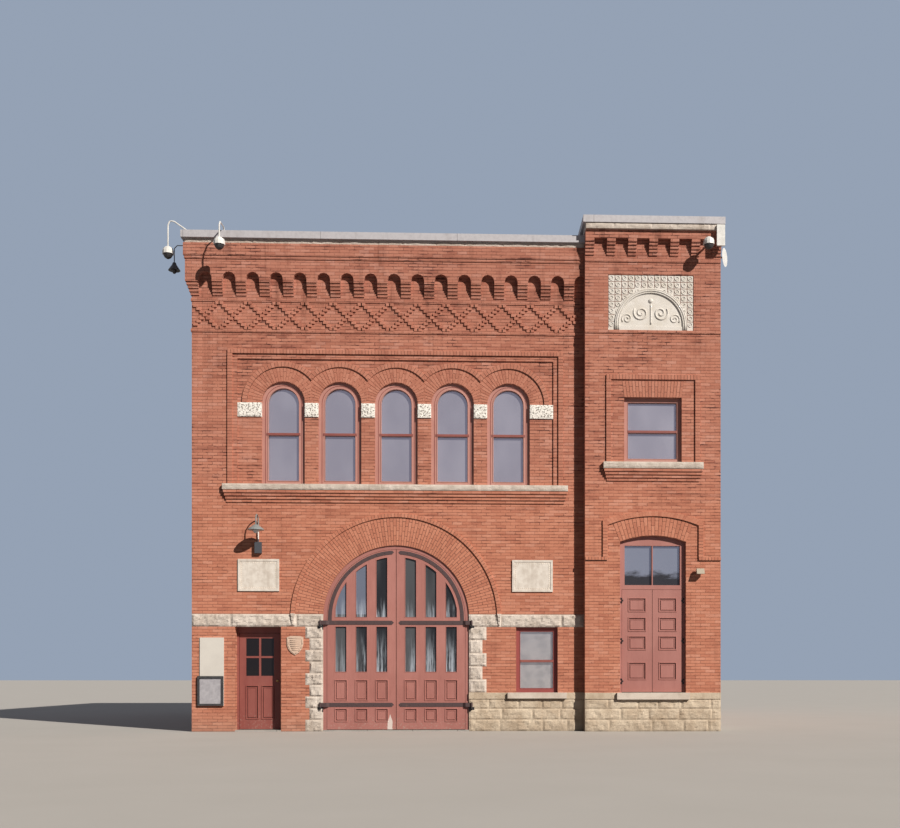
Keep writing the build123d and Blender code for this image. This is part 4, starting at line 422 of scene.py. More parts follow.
def wall_map_group():
    """Coordinates along and up each wall, chosen by the way that its face looks."""
    tree, s, _, target = new_group("wall_map", [], [("Along", "NodeSocketVector")])
    x, y, z = s.split(s.place())
    facing = s.split(s.add("ShaderNodeNewGeometry").outputs["True Normal"])
    side = s.math("GREATER_THAN", s.math("ABSOLUTE", facing["X"]), 0.7)
    flat = s.math("GREATER_THAN", s.math("ABSOLUTE", facing["Z"]), 0.7)
    along = s.math("ADD", s.math("MULTIPLY", x, s.math("SUBTRACT", 1.0, side)), s.math("MULTIPLY", y, side))
    up = s.math("ADD", s.math("MULTIPLY", z, s.math("SUBTRACT", 1.0, flat)), s.math("MULTIPLY", y, flat))
    s.put(target["Along"], s.join(along, up))
    return tree


def brick_cells_group():
    """Running bond: a mask of the joints, a random value for each brick and its worn height."""
    inputs = [
        ("Along", "NodeSocketVector", None), ("Length", "NodeSocketFloat", BRICK),
        ("Course", "NodeSocketFloat", COURSE), ("Joint", "NodeSocketFloat", JOINT),
    ]
    outputs = [("Joint", "NodeSocketFloat"), ("Random", "NodeSocketFloat"), ("Height", "NodeSocketFloat")]
    tree, s, source, target = new_group("brick_cells", inputs, outputs)
    along = s.split(source["Along"])
    wobble = s.math("MULTIPLY", s.math("SUBTRACT", s.noise(source["Along"], 38.0, 2.0), 0.5), 0.010)
    rows = s.math("DIVIDE", s.math("ADD", along["Y"], wobble), source["Course"])
    row = s.math("FLOOR", rows)
    shift = s.math("MULTIPLY", s.math("FLOORED_MODULO", row, 2.0), 0.5)
    cells = s.math("ADD", s.math("DIVIDE", along["X"], source["Length"]), shift)
    column = s.math("FLOOR", cells)
    to_end = s.math("MULTIPLY", s.to_whole(cells), s.math("MULTIPLY", source["Length"], 2.0))
    to_bed = s.math("MULTIPLY", s.to_whole(rows), source["Course"])
    edge = s.math("SUBTRACT", s.math("MINIMUM", to_end, to_bed), s.math("DIVIDE", source["Joint"], 2.0))
    inside = s.clamped(edge, -0.0012, 0.0022)
    random_value = s.add("ShaderNodeTexWhiteNoise", noise_dimensions="2D")
    s.put(random_value.inputs["Vector"], s.join(column, row))
    s.put(target["Joint"], s.math("SUBTRACT", 1.0, inside))
    s.put(target["Random"], random_value.outputs["Value"])
    s.put(target["Height"], inside)
    return tree


def weather_group():
    """Masks of stains that run down, of large faded patches and of fine grit."""
    outputs = [("Runs", "NodeSocketFloat"), ("Patches", "NodeSocketFloat"), ("Grit", "NodeSocketFloat")]
    tree, s, _, target = new_group("weather", [], outputs)
    place = s.place()
    runs = s.noise(s.stretch(place, 5.0, 5.0, 0.5), 1.0, 4.0, 0.6)
    s.put(target["Runs"], s.clamped(runs, 0.52, 0.75))
    s.put(target["Patches"], s.clamped(s.noise(place, 0.55, 4.0, 0.6), 0.38, 0.66))
    s.put(target["Grit"], s.noise(place, 160.0, 2.0, 0.7))
    return tree


def blotches_group():
    """Uneven patches at a chosen size: the plain noise, and a mask that rises from Start to End."""
    inputs = [(name, "NodeSocketFloat", None) for name in ("Scale", "Detail", "Roughness", "Start", "End")]
    outputs = [("Noise", "NodeSocketFloat"), ("Mask", "NodeSocketFloat")]
    tree, s, source, target = new_group("blotches", inputs, outputs)
    patches = s.noise(s.place(), source["Scale"], source["Detail"], source["Roughness"])
    s.put(target["Noise"], patches)
    s.put(target["Mask"], s.clamped(patches, source["Start"], source["End"]))
    return tree


def stains_group():
    """Darker runs down a surface, as strong as Strength says."""
    inputs = [
        ("Colour", "NodeSocketColor", None), ("Strength", "NodeSocketFloat", None),
        ("Tint", "NodeSocketColor", None),
    ]
    tree, s, source, target = new_group("stains", inputs, [("Colour", "NodeSocketColor")])
    share = s.math("MULTIPLY", s.use(WEATHER)["Runs"], source["Strength"])
    s.put(target["Colour"], s.darken(source["Colour"], share, source["Tint"]))
    return tree


def brick_tone_group():
    """Fired clay from dark red to pale orange."""
    inputs = [("Value", "NodeSocketFloat", None)]
    tree, s, source, target = new_group("brick_tone", inputs, [("Colour", "NodeSocketColor")])
    stops = (
        (0.0, (0.26, 0.084, 0.063)), (0.12, (0.40, 0.147, 0.096)), (0.35, (0.50, 0.196, 0.124)),
        (0.65, (0.56, 0.236, 0.153)), (0.88, (0.61, 0.292, 0.208)), (1.0, (0.68, 0.385, 0.300)),
    )
    ramp = s.add("ShaderNodeValToRGB")
    elements = ramp.color_ramp.elements
    elements.remove(elements[1])
    elements[0].position = stops[0][0]
    elements[0].color = (*stops[0][1], 1)
    for position, colour in stops[1:]:
        elements.new(position).color = (*colour, 1)
    s.put(ramp.inputs[0], source["Value"])
    s.put(target["Colour"], ramp.outputs[0])
    return tree


def brick_age_group():
    """Stains, soot under the cornice and the rough skin that all brick here shares."""
    inputs = [("Colour", "NodeSocketColor", None), ("Height", "NodeSocketFloat", None)]
    outputs = [
        ("Colour", "NodeSocketColor"), ("Roughness", "NodeSocketFloat"), ("Height", "NodeSocketFloat"),
    ]
    tree, s, source, target = new_group("brick_age", inputs, outputs)
    weather = s.use(WEATHER)
    up = s.height()
    high = s.clamped(up, SOOT_START, SOOT_END)
    soot = s.math("MULTIPLY_ADD", high, 0.45, 0.22)
    colour = s.stained(source["Colour"], soot, (0.42, 0.36, 0.34, 1))
    colour = s.darken(colour, s.math("MULTIPLY", weather["Patches"], 0.16), (0.72, 0.62, 0.58, 1))
    colour = s.darken(colour, s.math("MULTIPLY", high, 0.35), (0.80, 0.80, 0.86, 1))
    colour = s.darken(colour, s.clamped(up, 4.4, 6.4), (0.92, 0.94, 1.0, 1))
    low = s.clamped(up, 0.5, 0.0)
    s.put(target["Colour"], s.mix(s.math("MULTIPLY", low, 0.25), colour, (0.30, 0.24, 0.19, 1)))
    s.put(target["Roughness"], s.math("MULTIPLY_ADD", weather["Grit"], 0.15, 0.78))
    s.put(target["Height"], s.math("MULTIPLY_ADD", weather["Grit"], 0.10, source["Height"]))
    return tree


WALL_MAP = wall_map_group()
BRICK_CELLS = brick_cells_group()
WEATHER = weather_group()
BLOTCHES = blotches_group()
STAINS = stains_group()
BRICK_TONE = brick_tone_group()
BRICK_AGE = brick_age_group()


# Materials

def new_material(name):
    """A material with one Principled shader, its node tree and the shader's inputs."""
    material = bpy.data.materials.new(name)
    material.use_nodes = True
    material.node_tree.nodes.clear()
    s = Shader(material.node_tree)
    surface = s.add("ShaderNodeBsdfPrincipled")
    output = s.add("ShaderNodeOutputMaterial")
    s.put(output.inputs["Surface"], surface.outputs[0])
    return material, s, surface.inputs


def finish_brick(s, inputs, colour, height):
    """Put the aged colour, the roughness and the relief of brick on a material."""
    aged = s.use(BRICK_AGE, Colour=colour, Height=height)
    s.put(inputs["Base Color"], aged["Colour"])
    s.put(inputs["Roughness"], aged["Roughness"])
    s.put(inputs["Specular IOR Level"], 0.25)
    s.put(inputs["Normal"], s.bump(aged["Height"], 0.006))


def brick_wall():
    """Brickwork drawn by the shader, with joints that are eroded in patches and more so higher up; the
    eroded joints are drawn wider and darker, and their dark is partly painted shade in the hollows.
    """
    material, s, inputs = new_material("brick_wall")
    place = s.place()
    worn = s.clamped(s.noise(s.stretch(place, 4.0, 4.0, 13.0), 1.0, 3.0, 0.65), 0.45, 0.64)
    zone = s.clamped(s.noise(place, 0.8, 3.0, 0.6), 0.36, 0.62)
    aged = s.math("MULTIPLY_ADD", s.clamped(s.height(), 3.2, 6.5), 0.55, 0.45)
    aged = s.math("MULTIPLY", aged, zone)
    erosion_and_shade = s.math("MULTIPLY", worn, s.math("MULTIPLY_ADD", aged, 0.75, 0.25))
    width = s.math("MULTIPLY_ADD", erosion_and_shade, 0.018, 0.007)
    cells = s.use(BRICK_CELLS, Along=s.use(WALL_MAP)["Along"], Joint=width)
    fine = s.noise(place, 24.0, 3.0)
    drift = s.noise(place, 1.7, 3.0)
    tone = s.math("ADD", s.math("MULTIPLY", cells["Random"], 0.50), s.math("MULTIPLY", fine, 0.34))
    tone = s.math("MULTIPLY_ADD", drift, 0.40, s.math("SUBTRACT", tone, 0.10))
    # Joint darkness grows with erosion: dark mortar, plus painted shade in the eroded joints
    joint = s.math("MULTIPLY", cells["Joint"], s.math("MULTIPLY_ADD", erosion_and_shade, 0.60, 0.34))
    colour = s.mix(joint, s.use(BRICK_TONE, Value=tone)["Colour"], (0.085, 0.028, 0.022, 1))
    pits = s.clamped(s.noise(s.stretch(place, 11.0, 11.0, 24.0), 1.0, 3.0, 0.6), 0.64, 0.72)
    colour = s.darken(colour, s.math("MULTIPLY", pits, 0.65), (0.42, 0.34, 0.32, 1))
    courses = s.clamped(s.noise(s.stretch(place, 0.9, 0.9, 10.0), 1.0, 2.0, 0.5), 0.50, 0.66)
    courses = s.math("MULTIPLY", courses, s.math("MULTIPLY_ADD", aged, 0.55, 0.15))
    colour = s.darken(colour, courses, (0.58, 0.50, 0.50, 1))
    finish_brick(s, inputs, colour, cells["Height"])
    return material


def brick_piece():
    """Brick for pieces in which each brick is a mesh of its own."""
    material, s, inputs = new_material("brick_piece")
    island = s.add("ShaderNodeNewGeometry").outputs["Random Per Island"]
    fine = s.noise(s.place(), 24.0, 3.0)
    tone = s.math("ADD", s.math("MULTIPLY", island, 0.42), s.math("MULTIPLY", fine, 0.5))
    finish_brick(s, inputs, s.use(BRICK_TONE, Value=tone)["Colour"], s.noise(s.place(), 60.0, 3.0))
    return material


def mortar():
    """Mortar stained by the brick beside it."""
    material, s, inputs = new_material("mortar")
    grain = s.noise(s.place(), 90.0, 3.0)
    s.put(inputs["Base Color"], s.mix(grain, (0.13, 0.055, 0.040, 1), (0.21, 0.100, 0.072, 1)))
    s.put(inputs["Roughness"], 0.95)
    s.put(inputs["Normal"], s.bump(grain, 0.003))
    return material


def stone(name, pale, dark, relief):
    """Sandstone with grey stains, pits and a tone of its own for each block."""
    material, s, inputs = new_material(name)
    island = s.add("ShaderNodeNewGeometry").outputs["Random Per Island"]
    broad = s.blotches(3.0, 5.0, 0.65)
    fine = s.blotches(34.0, 5.0, 0.7, 0.55, 0.75)
    colour = s.mix(broad["Mask"], pale, dark)
    colour = s.darken(colour, s.math("MULTIPLY", island, 0.45), (0.80, 0.78, 0.76, 1))
    colour = s.darken(colour, s.math("MULTIPLY", fine["Mask"], 0.5), (0.50, 0.46, 0.43, 1))
    colour = s.stained(colour, 0.45, (0.55, 0.51, 0.48, 1))
    low = s.clamped(s.height(), 0.45, 0.0)
    colour = s.mix(s.math("MULTIPLY", low, 0.35), colour, (0.40, 0.32, 0.24, 1))
    s.put(inputs["Base Color"], colour)
    s.put(inputs["Roughness"], s.math("MULTIPLY_ADD", fine["Noise"], 0.2, 0.72))
    height = s.math("ADD", s.math("MULTIPLY", broad["Noise"], 0.6), s.math("MULTIPLY", fine["Noise"], 0.4))
    s.put(inputs["Normal"], s.bump(height, relief))
    return material


def speckled_stone():
    """Deeply carved pale stone, with painted shade in its small sunk hollows."""
    material, s, inputs = new_material("speckled_stone")
    pits = s.blotches(30.0, 3.0, 0.6, 0.55, 0.62)["Mask"]
    grain = s.noise(s.place(), 90.0, 3.0, 0.6)
    tone = s.mix(grain, (0.84, 0.80, 0.74, 1), (0.95, 0.93, 0.88, 1))
    # The sunk pits are painted dark: painted shade in the carved hollows
    s.put(inputs["Base Color"], s.mix(s.math("MULTIPLY", pits, 0.75), tone, (0.16, 0.11, 0.08, 1)))
    s.put(inputs["Roughness"], 0.85)
    s.put(inputs["Normal"], s.bump(s.math("SUBTRACT", grain, s.math("MULTIPLY", pits, 4.0)), 0.008))
    return material


def tablet_paint():
    """Pale tablets with grey blotches and runs, and a warm clay shield lower down."""
    material, s, inputs = new_material("tablet_paint")
    blot = s.blotches(9.0, 4.0, 0.6)
    tone = s.mix(blot["Mask"], (0.72, 0.67, 0.61, 1), (0.60, 0.54, 0.48, 1))
    clay = s.mix(blot["Noise"], (0.52, 0.37, 0.28, 1), (0.66, 0.50, 0.40, 1))
    tone = s.mix(s.math("LESS_THAN", s.height(), SHIELD_TOP), tone, clay)
    s.put(inputs["Base Color"], s.stained(tone, 0.4, (0.6, 0.55, 0.5, 1)))
    s.put(inputs["Roughness"], s.math("MULTIPLY_ADD", blot["Noise"], 0.3, 0.5))
    s.put(inputs["Normal"], s.bump(blot["Noise"], 0.006))
    return material


def lamp_metal():
    """Galvanised lamp: grey shade and arm, white globe, slate gear box, cream flood light."""
    material, s, inputs = new_material("lamp_metal")
    height = s.height()
    dull = s.noise(s.place(), 30.0, 4.0, 0.6)
    shade = s.math("GREATER_THAN", height, GLOBE_TOP)
    box = s.math("GREATER_THAN", height, FLOOD_LIGHT_TOP)
    tone = s.mix(box, (0.44, 0.38, 0.29, 1), (0.070, 0.075, 0.090, 1))
    tone = s.mix(s.math("GREATER_THAN", height, GEAR_BOX_TOP), tone, (0.86, 0.84, 0.80, 1))
    tone = s.mix(shade, tone, (0.33, 0.37, 0.37, 1))
    s.put(inputs["Base Color"], s.darken(tone, s.math("MULTIPLY", dull, 0.6), (0.6, 0.62, 0.64, 1)))
    s.put(inputs["Metallic"], s.math("MULTIPLY", shade, 0.35))
    s.put(inputs["Roughness"], s.math("MULTIPLY_ADD", dull, 0.3, 0.3))
    s.put(inputs["Normal"], s.bump(dull, 0.0015))
    return material


def paper():
    """A bare sheet behind the notice board's glass, with faint damp marks."""
    material, s, inputs = new_material("paper")
    blot = s.blotches(12.0, 5.0, 0.65, 0.3, 0.7)
    s.put(inputs["Base Color"], s.mix(blot["Mask"], (0.44, 0.43, 0.46, 1), (0.33, 0.32, 0.35, 1)))
    s.put(inputs["Roughness"], 0.35)
    s.put(inputs["Coat Weight"], 0.4)
    s.put(inputs["Normal"], s.bump(blot["Noise"], 0.001))
    return material


def paint(name, colour, faded, roughness=0.5, low_colour=None, smear=False):
    """Old paint on wood; low_colour is for frames on the ground floor, smear adds a white spill."""
    material, s, inputs = new_material(name)
    place = s.place()
    height = s.height()
    if low_colour:
        below = s.math("LESS_THAN", height, GROUND_FRAMES_TOP)
        colour = s.mix(below, colour, low_colour)
        faded = s.mix(below, faded, low_colour)
    grain = s.noise(s.stretch(place, 60.0, 60.0, 3.0), 1.0, 4.0, 0.6)
    fade = s.clamped(s.noise(s.stretch(place, 2.2, 2.2, 0.9), 1.0, 5.0, 0.6), 0.35, 0.7)
    dust = s.blotches(30.0, 4.0, 0.65, 0.55, 0.68)
    colour = s.mix(s.math("MULTIPLY", fade, 0.7), colour, faded)
    colour = s.darken(colour, s.math("MULTIPLY", s.clamped(grain, 0.5, 0.75), 0.35), (0.66, 0.6, 0.58, 1))
    colour = s.darken(colour, s.clamped(height, 1.5, 0.3), (0.91, 0.87, 0.87, 1))
    low = s.clamped(height, 0.55, 0.02)
    chips = s.math("MULTIPLY", low, dust["Mask"])
    colour = s.mix(s.math("MULTIPLY", chips, 0.6), colour, (0.42, 0.33, 0.28, 1))
    if smear:
        x, y, z = s.split(place)
        across = s.math("ABSOLUTE", s.math("SUBTRACT", x, SPILL_X))
        taper = s.math("MAXIMUM", s.math("SUBTRACT", z, SPILL_KNEE), 0.0)
        narrow = s.math("MULTIPLY_ADD", taper, SPILL_TAPER, across)
        ragged = s.math("MULTIPLY_ADD", s.noise(place, 11.0, 4.0, 0.6), 0.05, narrow)
        outside = s.math("LESS_THAN", y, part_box("apparatus_left_leaf")[0].y + LEAF_MIDDLE)
        spill = s.math("MULTIPLY", s.clamped(ragged, SPILL_HALF + 0.004, SPILL_HALF - 0.004), outside)
        colour = s.mix(s.math("MULTIPLY", spill, 0.8), colour, (0.72, 0.66, 0.62, 1))
    s.put(inputs["Base Color"], colour)
    s.put(inputs["Roughness"], s.math("MULTIPLY_ADD", dust["Noise"], 0.25, roughness - 0.1))
    s.put(inputs["Normal"], s.bump(s.math("ADD", grain, s.math("MULTIPLY", dust["Noise"], 0.5)), 0.0012))
    return material


def metal_paint(name, colour, worn, roughness, seams=0.0):
    """Painted metal with dull runs; seams gives the spacing of its joints."""
    material, s, inputs = new_material(name)
    fine = s.blotches(14.0, 4.0, 0.6, 0.35, 0.75)
    tone = s.stained(s.mix(fine["Mask"], colour, worn), 0.45, (0.66, 0.63, 0.6, 1))
    height = s.math("MULTIPLY", fine["Noise"], 0.3)
    if seams:
        along = s.split(s.use(WALL_MAP)["Along"])["X"]
        gap = s.math("MULTIPLY", s.to_whole(s.math("DIVIDE", along, seams)), seams)
        line = s.clamped(gap, 0.010, 0.002)
        tone = s.darken(tone, s.math("MULTIPLY", line, 0.8), (0.35, 0.34, 0.34, 1))
        height = s.math("SUBTRACT", height, line)
    s.put(inputs["Base Color"], tone)
    s.put(inputs["Roughness"], s.math("MULTIPLY_ADD", fine["Noise"], 0.2, roughness))
    s.put(inputs["Normal"], s.bump(height, 0.0008))
    return material


def iron(name, colour, roughness):
    """Forged iron under thin paint, hammered and a little rusty."""
    material, s, inputs = new_material(name)
    hammer = s.noise(s.place(), 45.0, 3.0, 0.5)
    rust = s.blotches(12.0, 5.0, 0.7, 0.58, 0.72)["Mask"]
    s.put(inputs["Base Color"], s.mix(s.math("MULTIPLY", rust, 0.5), colour, (0.16, 0.075, 0.045, 1)))
    s.put(inputs["Metallic"], s.math("MULTIPLY_ADD", rust, -0.3, 0.35))
    s.put(inputs["Roughness"], s.math("MULTIPLY_ADD", hammer, 0.3, roughness))
    s.put(inputs["Normal"], s.bump(hammer, 0.002))
    return material


def brass():
    """Brass with brown tarnish."""
    material, s, inputs = new_material("old_brass")
    tarnish = s.blotches(50.0, 4.0, 0.65)
    s.put(inputs["Base Color"], s.mix(tarnish["Mask"], (0.50, 0.36, 0.16, 1), (0.16, 0.11, 0.06, 1)))
    s.put(inputs["Metallic"], 0.9)
    s.put(inputs["Roughness"], s.math("MULTIPLY_ADD", tarnish["Noise"], 0.4, 0.22))
    return material


def door_glass(name, tint, cover, streaks, wiped=False):
    """Door panes with a little dust over a near-black tint that is painted shade of the room behind; wiped
    gathers pale streaks at the foot of the engine doors' lights.
    """
    material, s, inputs = new_material(name)
    place = s.place()
    dust = s.noise(s.stretch(place, 19.0, 19.0, 1.3), 1.0, 5.0, 0.65)
    wipes = s.math("MULTIPLY", s.clamped(dust, 0.40, 0.66), streaks)
    if wiped:
        height = s.height()
        lean = s.clamped(s.noise(s.stretch(place, 1.7, 1.7, 0.3), 1.0, 2.0, 0.5), 0.40, 0.60)
        tint = s.mix(lean, tint, (0.080, 0.085, 0.092, 1))
        wipes = s.math("MULTIPLY", wipes, s.math("MULTIPLY_ADD", lean, -0.55, 1.0))
        # Painted reflection of blue sky on the upper lights of the left leaf
        left = s.math("LESS_THAN", s.split(place)["X"], ARCH_X - LIGHT_OFFSETS[0] - LIGHT_WIDTH)
        painted_sky_reflection = s.math("MULTIPLY", left, s.math("GREATER_THAN", height, BELT_HIGH.z))
        tint = s.mix(painted_sky_reflection, tint, (0.150, 0.175, 0.240, 1))
        upper = s.math("GREATER_THAN", height, ARCH_SPRING - HIGH_STRAP_DROP)
        foot = ARCH_SPRING + HIGH_LIGHT_RISE - LOW_LIGHT[0]
        rise = s.math("SUBTRACT", height, s.math("MULTIPLY_ADD", upper, foot, LOW_LIGHT[0]))
        reach = s.math("MULTIPLY_ADD", upper, -0.40, 0.80)
        fade = s.clamped(s.math("DIVIDE", rise, reach), 1.25, 0.0)
        wipes = s.math("MULTIPLY", wipes, fade)
    s.put(inputs["Base Color"], s.mix(wipes, tint, (0.46, 0.52, 0.60, 1)))
    s.put(inputs["Roughness"], s.math("MULTIPLY_ADD", wipes, 0.5, 0.06))
    s.put(inputs["Alpha"], s.math("MULTIPLY_ADD", wipes, 1.0 - cover, cover))
    waves = s.noise(place, 2.4, 2.0, 0.5)
    s.put(inputs["Normal"], s.bump(waves, 0.01, 0.35))
    return material


def street_glass():
    """Panes whose colour is a painted reflection of a pale sky over their real gloss: grey on the ground
    floor, dark at the foot over the tower door.
    """
    material, s, inputs = new_material("street_glass")
    place = s.place()
    height = s.height()
    haze = s.noise(s.stretch(place, 1.6, 1.6, 0.8), 1.0, 3.0, 0.5)
    # Partly painted reflection: the lavender-grey of the upper panes and the mottled grey of the ground
    # floor; the transom's dark foot and sky blue above are painted reflection
    painted_reflection = s.mix(s.clamped(haze, 0.3, 0.7), (0.53, 0.52, 0.60, 1), (0.60, 0.59, 0.67, 1))
    blot = s.blotches(5.0, 5.0, 0.6, 0.40, 0.66)["Mask"]
    low_painted_reflection = s.mix(blot, (0.70, 0.68, 0.68, 1), (0.58, 0.57, 0.58, 1))
    wave = s.math("MULTIPLY_ADD", s.noise(s.stretch(place, 3.0, 3.0, 9.0), 1.0, 4.0, 0.6), 0.5, height)
    transom = s.mix(s.clamped(wave, 3.66, 3.84), (0.08, 0.08, 0.09, 1), (0.42, 0.46, 0.56, 1))
    painted_reflection = s.mix(s.math("LESS_THAN", height, TRANSOM_PANES_TOP), painted_reflection, transom)
    painted_reflection = s.mix(s.math("LESS_THAN", height, GROUND_PANES_TOP), painted_reflection, low_painted_reflection)
    s.put(inputs["Base Color"], painted_reflection)
    s.put(inputs["Metallic"], 0.75)
    s.put(inputs["Roughness"], s.math("MULTIPLY_ADD", haze, 0.1, 0.16))
    s.put(inputs["Alpha"], 0.93)
    s.put(inputs["Normal"], s.bump(s.noise(place, 1.5, 2.0, 0.5), 0.01, 0.25))
    return material


def blind_cloth():
    """Woven blind with faint hanging folds."""
    material, s, inputs = new_material("blind_cloth")
    place = s.place()
    folds = s.noise(s.stretch(place, 7.0, 1.0, 0.35), 1.0, 2.0, 0.5)
    threads = s.noise(s.stretch(place, 500.0, 1.0, 500.0), 1.0, 1.0, 0.5)
    tone = s.mix(s.clamped(folds, 0.3, 0.7), (0.375, 0.355, 0.425, 1), (0.40, 0.38, 0.45, 1))
    tone = s.darken(tone, s.math("MULTIPLY", threads, 0.3), (0.85, 0.85, 0.87, 1))
    s.put(inputs["Base Color"], tone)
    s.put(inputs["Roughness"], 0.9)
    s.put(inputs["Sheen Weight"], 0.2)
    s.put(inputs["Normal"], s.bump(s.math("ADD", folds, s.math("MULTIPLY", threads, 0.1)), 0.003))
    return material


def glazed_tile():
    """Cream fired tile with small dark specks."""
    material, s, inputs = new_material("glazed_tile")
    blot = s.blotches(5.0, 5.0, 0.65)
    fine = s.blotches(60.0, 3.0, 0.6, 0.55, 0.75)
    tone = s.mix(blot["Mask"], (0.70, 0.67, 0.63, 1), (0.62, 0.58, 0.52, 1))
    tone = s.darken(tone, s.math("MULTIPLY", fine["Mask"], 0.4), (0.6, 0.56, 0.5, 1))
    s.put(inputs["Base Color"], tone)
    s.put(inputs["Roughness"], s.math("MULTIPLY_ADD", fine["Noise"], 0.3, 0.4))
    s.put(inputs["Coat Weight"], 0.15)
    s.put(inputs["Normal"], s.bump(s.math("ADD", blot["Noise"], fine["Noise"]), 0.003))
    return material


def boards():
    """Pine floor boards, seen through the open doors."""
    material, s, inputs = new_material("pine_boards")
    place = s.place()
    gap = s.clamped(s.to_whole(s.math("DIVIDE", s.split(place)["X"], 0.14)), 0.06, 0.01)
    grain = s.noise(s.stretch(place, 30.0, 1.2, 30.0), 1.0, 4.0, 0.6)
    tone = s.mix(grain, (0.26, 0.16, 0.085, 1), (0.42, 0.28, 0.16, 1))
    s.put(inputs["Base Color"], s.darken(tone, gap, (0.2, 0.18, 0.16, 1)))
    s.put(inputs["Roughness"], s.math("MULTIPLY_ADD", grain, 0.3, 0.45))
    s.put(inputs["Normal"], s.bump(s.math("SUBTRACT", grain, gap), 0.003))
    return material


def poured(name, pale, dark, roughness):
    """Poured, rolled or spread surfaces: concrete, roofing sheet and plaster, with faint seams."""
    material, s, inputs = new_material(name)
    place = s.place()
    broad = s.blotches(1.3, 6.0, 0.6, 0.3, 0.7)["Mask"]
    fine = s.noise(place, 55.0, 4.0, 0.7)
    lap = s.clamped(s.to_whole(s.split(place)["X"]), 0.02, 0.005)
    tone = s.mix(broad, pale, dark)
    tone = s.darken(tone, s.math("MULTIPLY", lap, 0.6), (0.5, 0.5, 0.5, 1))
    s.put(inputs["Base Color"], s.darken(tone, s.math("MULTIPLY", fine, 0.4), (0.7, 0.7, 0.7, 1)))
    s.put(inputs["Roughness"], s.math("MULTIPLY_ADD", fine, 0.2, roughness))
    s.put(inputs["Normal"], s.bump(s.math("SUBTRACT", fine, lap), 0.003))
    return material


BRICK_WALL = brick_wall()
BRICK_PIECE = brick_piece()
MORTAR = mortar()
ROCK = stone("rock_stone", (0.66, 0.59, 0.53, 1), (0.50, 0.43, 0.37, 1), 0.03)
WARM_ROCK = stone("warm_rock_stone", (0.63, 0.53, 0.41, 1), (0.46, 0.36, 0.26, 1), 0.03)
DRESSED = stone("dressed_stone", (0.66, 0.58, 0.51, 1), (0.54, 0.46, 0.39, 1), 0.008)
CARVED = stone("carved_stone", (0.90, 0.82, 0.73, 1), (0.74, 0.65, 0.55, 1), 0.012)
SPECKLED = speckled_stone()
TABLET = tablet_paint()
DOOR_PAINT = paint("door_paint", (0.35, 0.142, 0.122, 1), (0.42, 0.185, 0.160, 1))
ENGINE_PAINT = paint("engine_door_paint", (0.37, 0.148, 0.125, 1), (0.45, 0.197, 0.170, 1), smear=True)
FRAME_PAINT = paint(
    "frame_paint", (0.43, 0.205, 0.170, 1), (0.50, 0.260, 0.220, 1), low_colour=(0.27, 0.060, 0.055, 1)
)
SOMBRE_PAINT = paint("sombre_paint", (0.23, 0.062, 0.052, 1), (0.31, 0.105, 0.085, 1))
COPING = metal_paint("coping_metal", (0.49, 0.48, 0.51, 1), (0.42, 0.41, 0.44, 1), 0.42, seams=3.0)
LAMP = lamp_metal()
PAPER = paper()
ENAMEL = metal_paint("white_enamel", (0.78, 0.78, 0.76, 1), (0.60, 0.60, 0.58, 1), 0.28)
BLACK = metal_paint("black_enamel", (0.035, 0.035, 0.04, 1), (0.06, 0.06, 0.06, 1), 0.35)
STRAP_IRON = iron("strap_iron", (0.082, 0.052, 0.054, 1), 0.5)
BLACK_IRON = iron("black_iron", (0.022, 0.022, 0.025, 1), 0.4)
BRASS = brass()
# The near-black tints are painted shade of the unlit rooms behind; the entry door's panes are an opaque
# dark sheet
DOOR_GLASS = door_glass("door_glass", (0.018, 0.019, 0.022, 1), 0.94, 0.95, wiped=True)
ENTRY_GLASS = door_glass("entry_glass", (0.008, 0.006, 0.006, 1), 1.0, 0.0)
STREET_GLASS = street_glass()
BLIND = blind_cloth()
TILE = glazed_tile()
BOARDS = boards()
CONCRETE = poured("concrete_slab", (0.42, 0.40, 0.37, 1), (0.30, 0.29, 0.27, 1), 0.7)
ROOFING = poured("roofing_sheet", (0.050, 0.050, 0.053, 1), (0.030, 0.030, 0.032, 1), 0.75)
PLASTER = poured("old_plaster", (0.70, 0.67, 0.62, 1), (0.60, 0.57, 0.53, 1), 0.75)

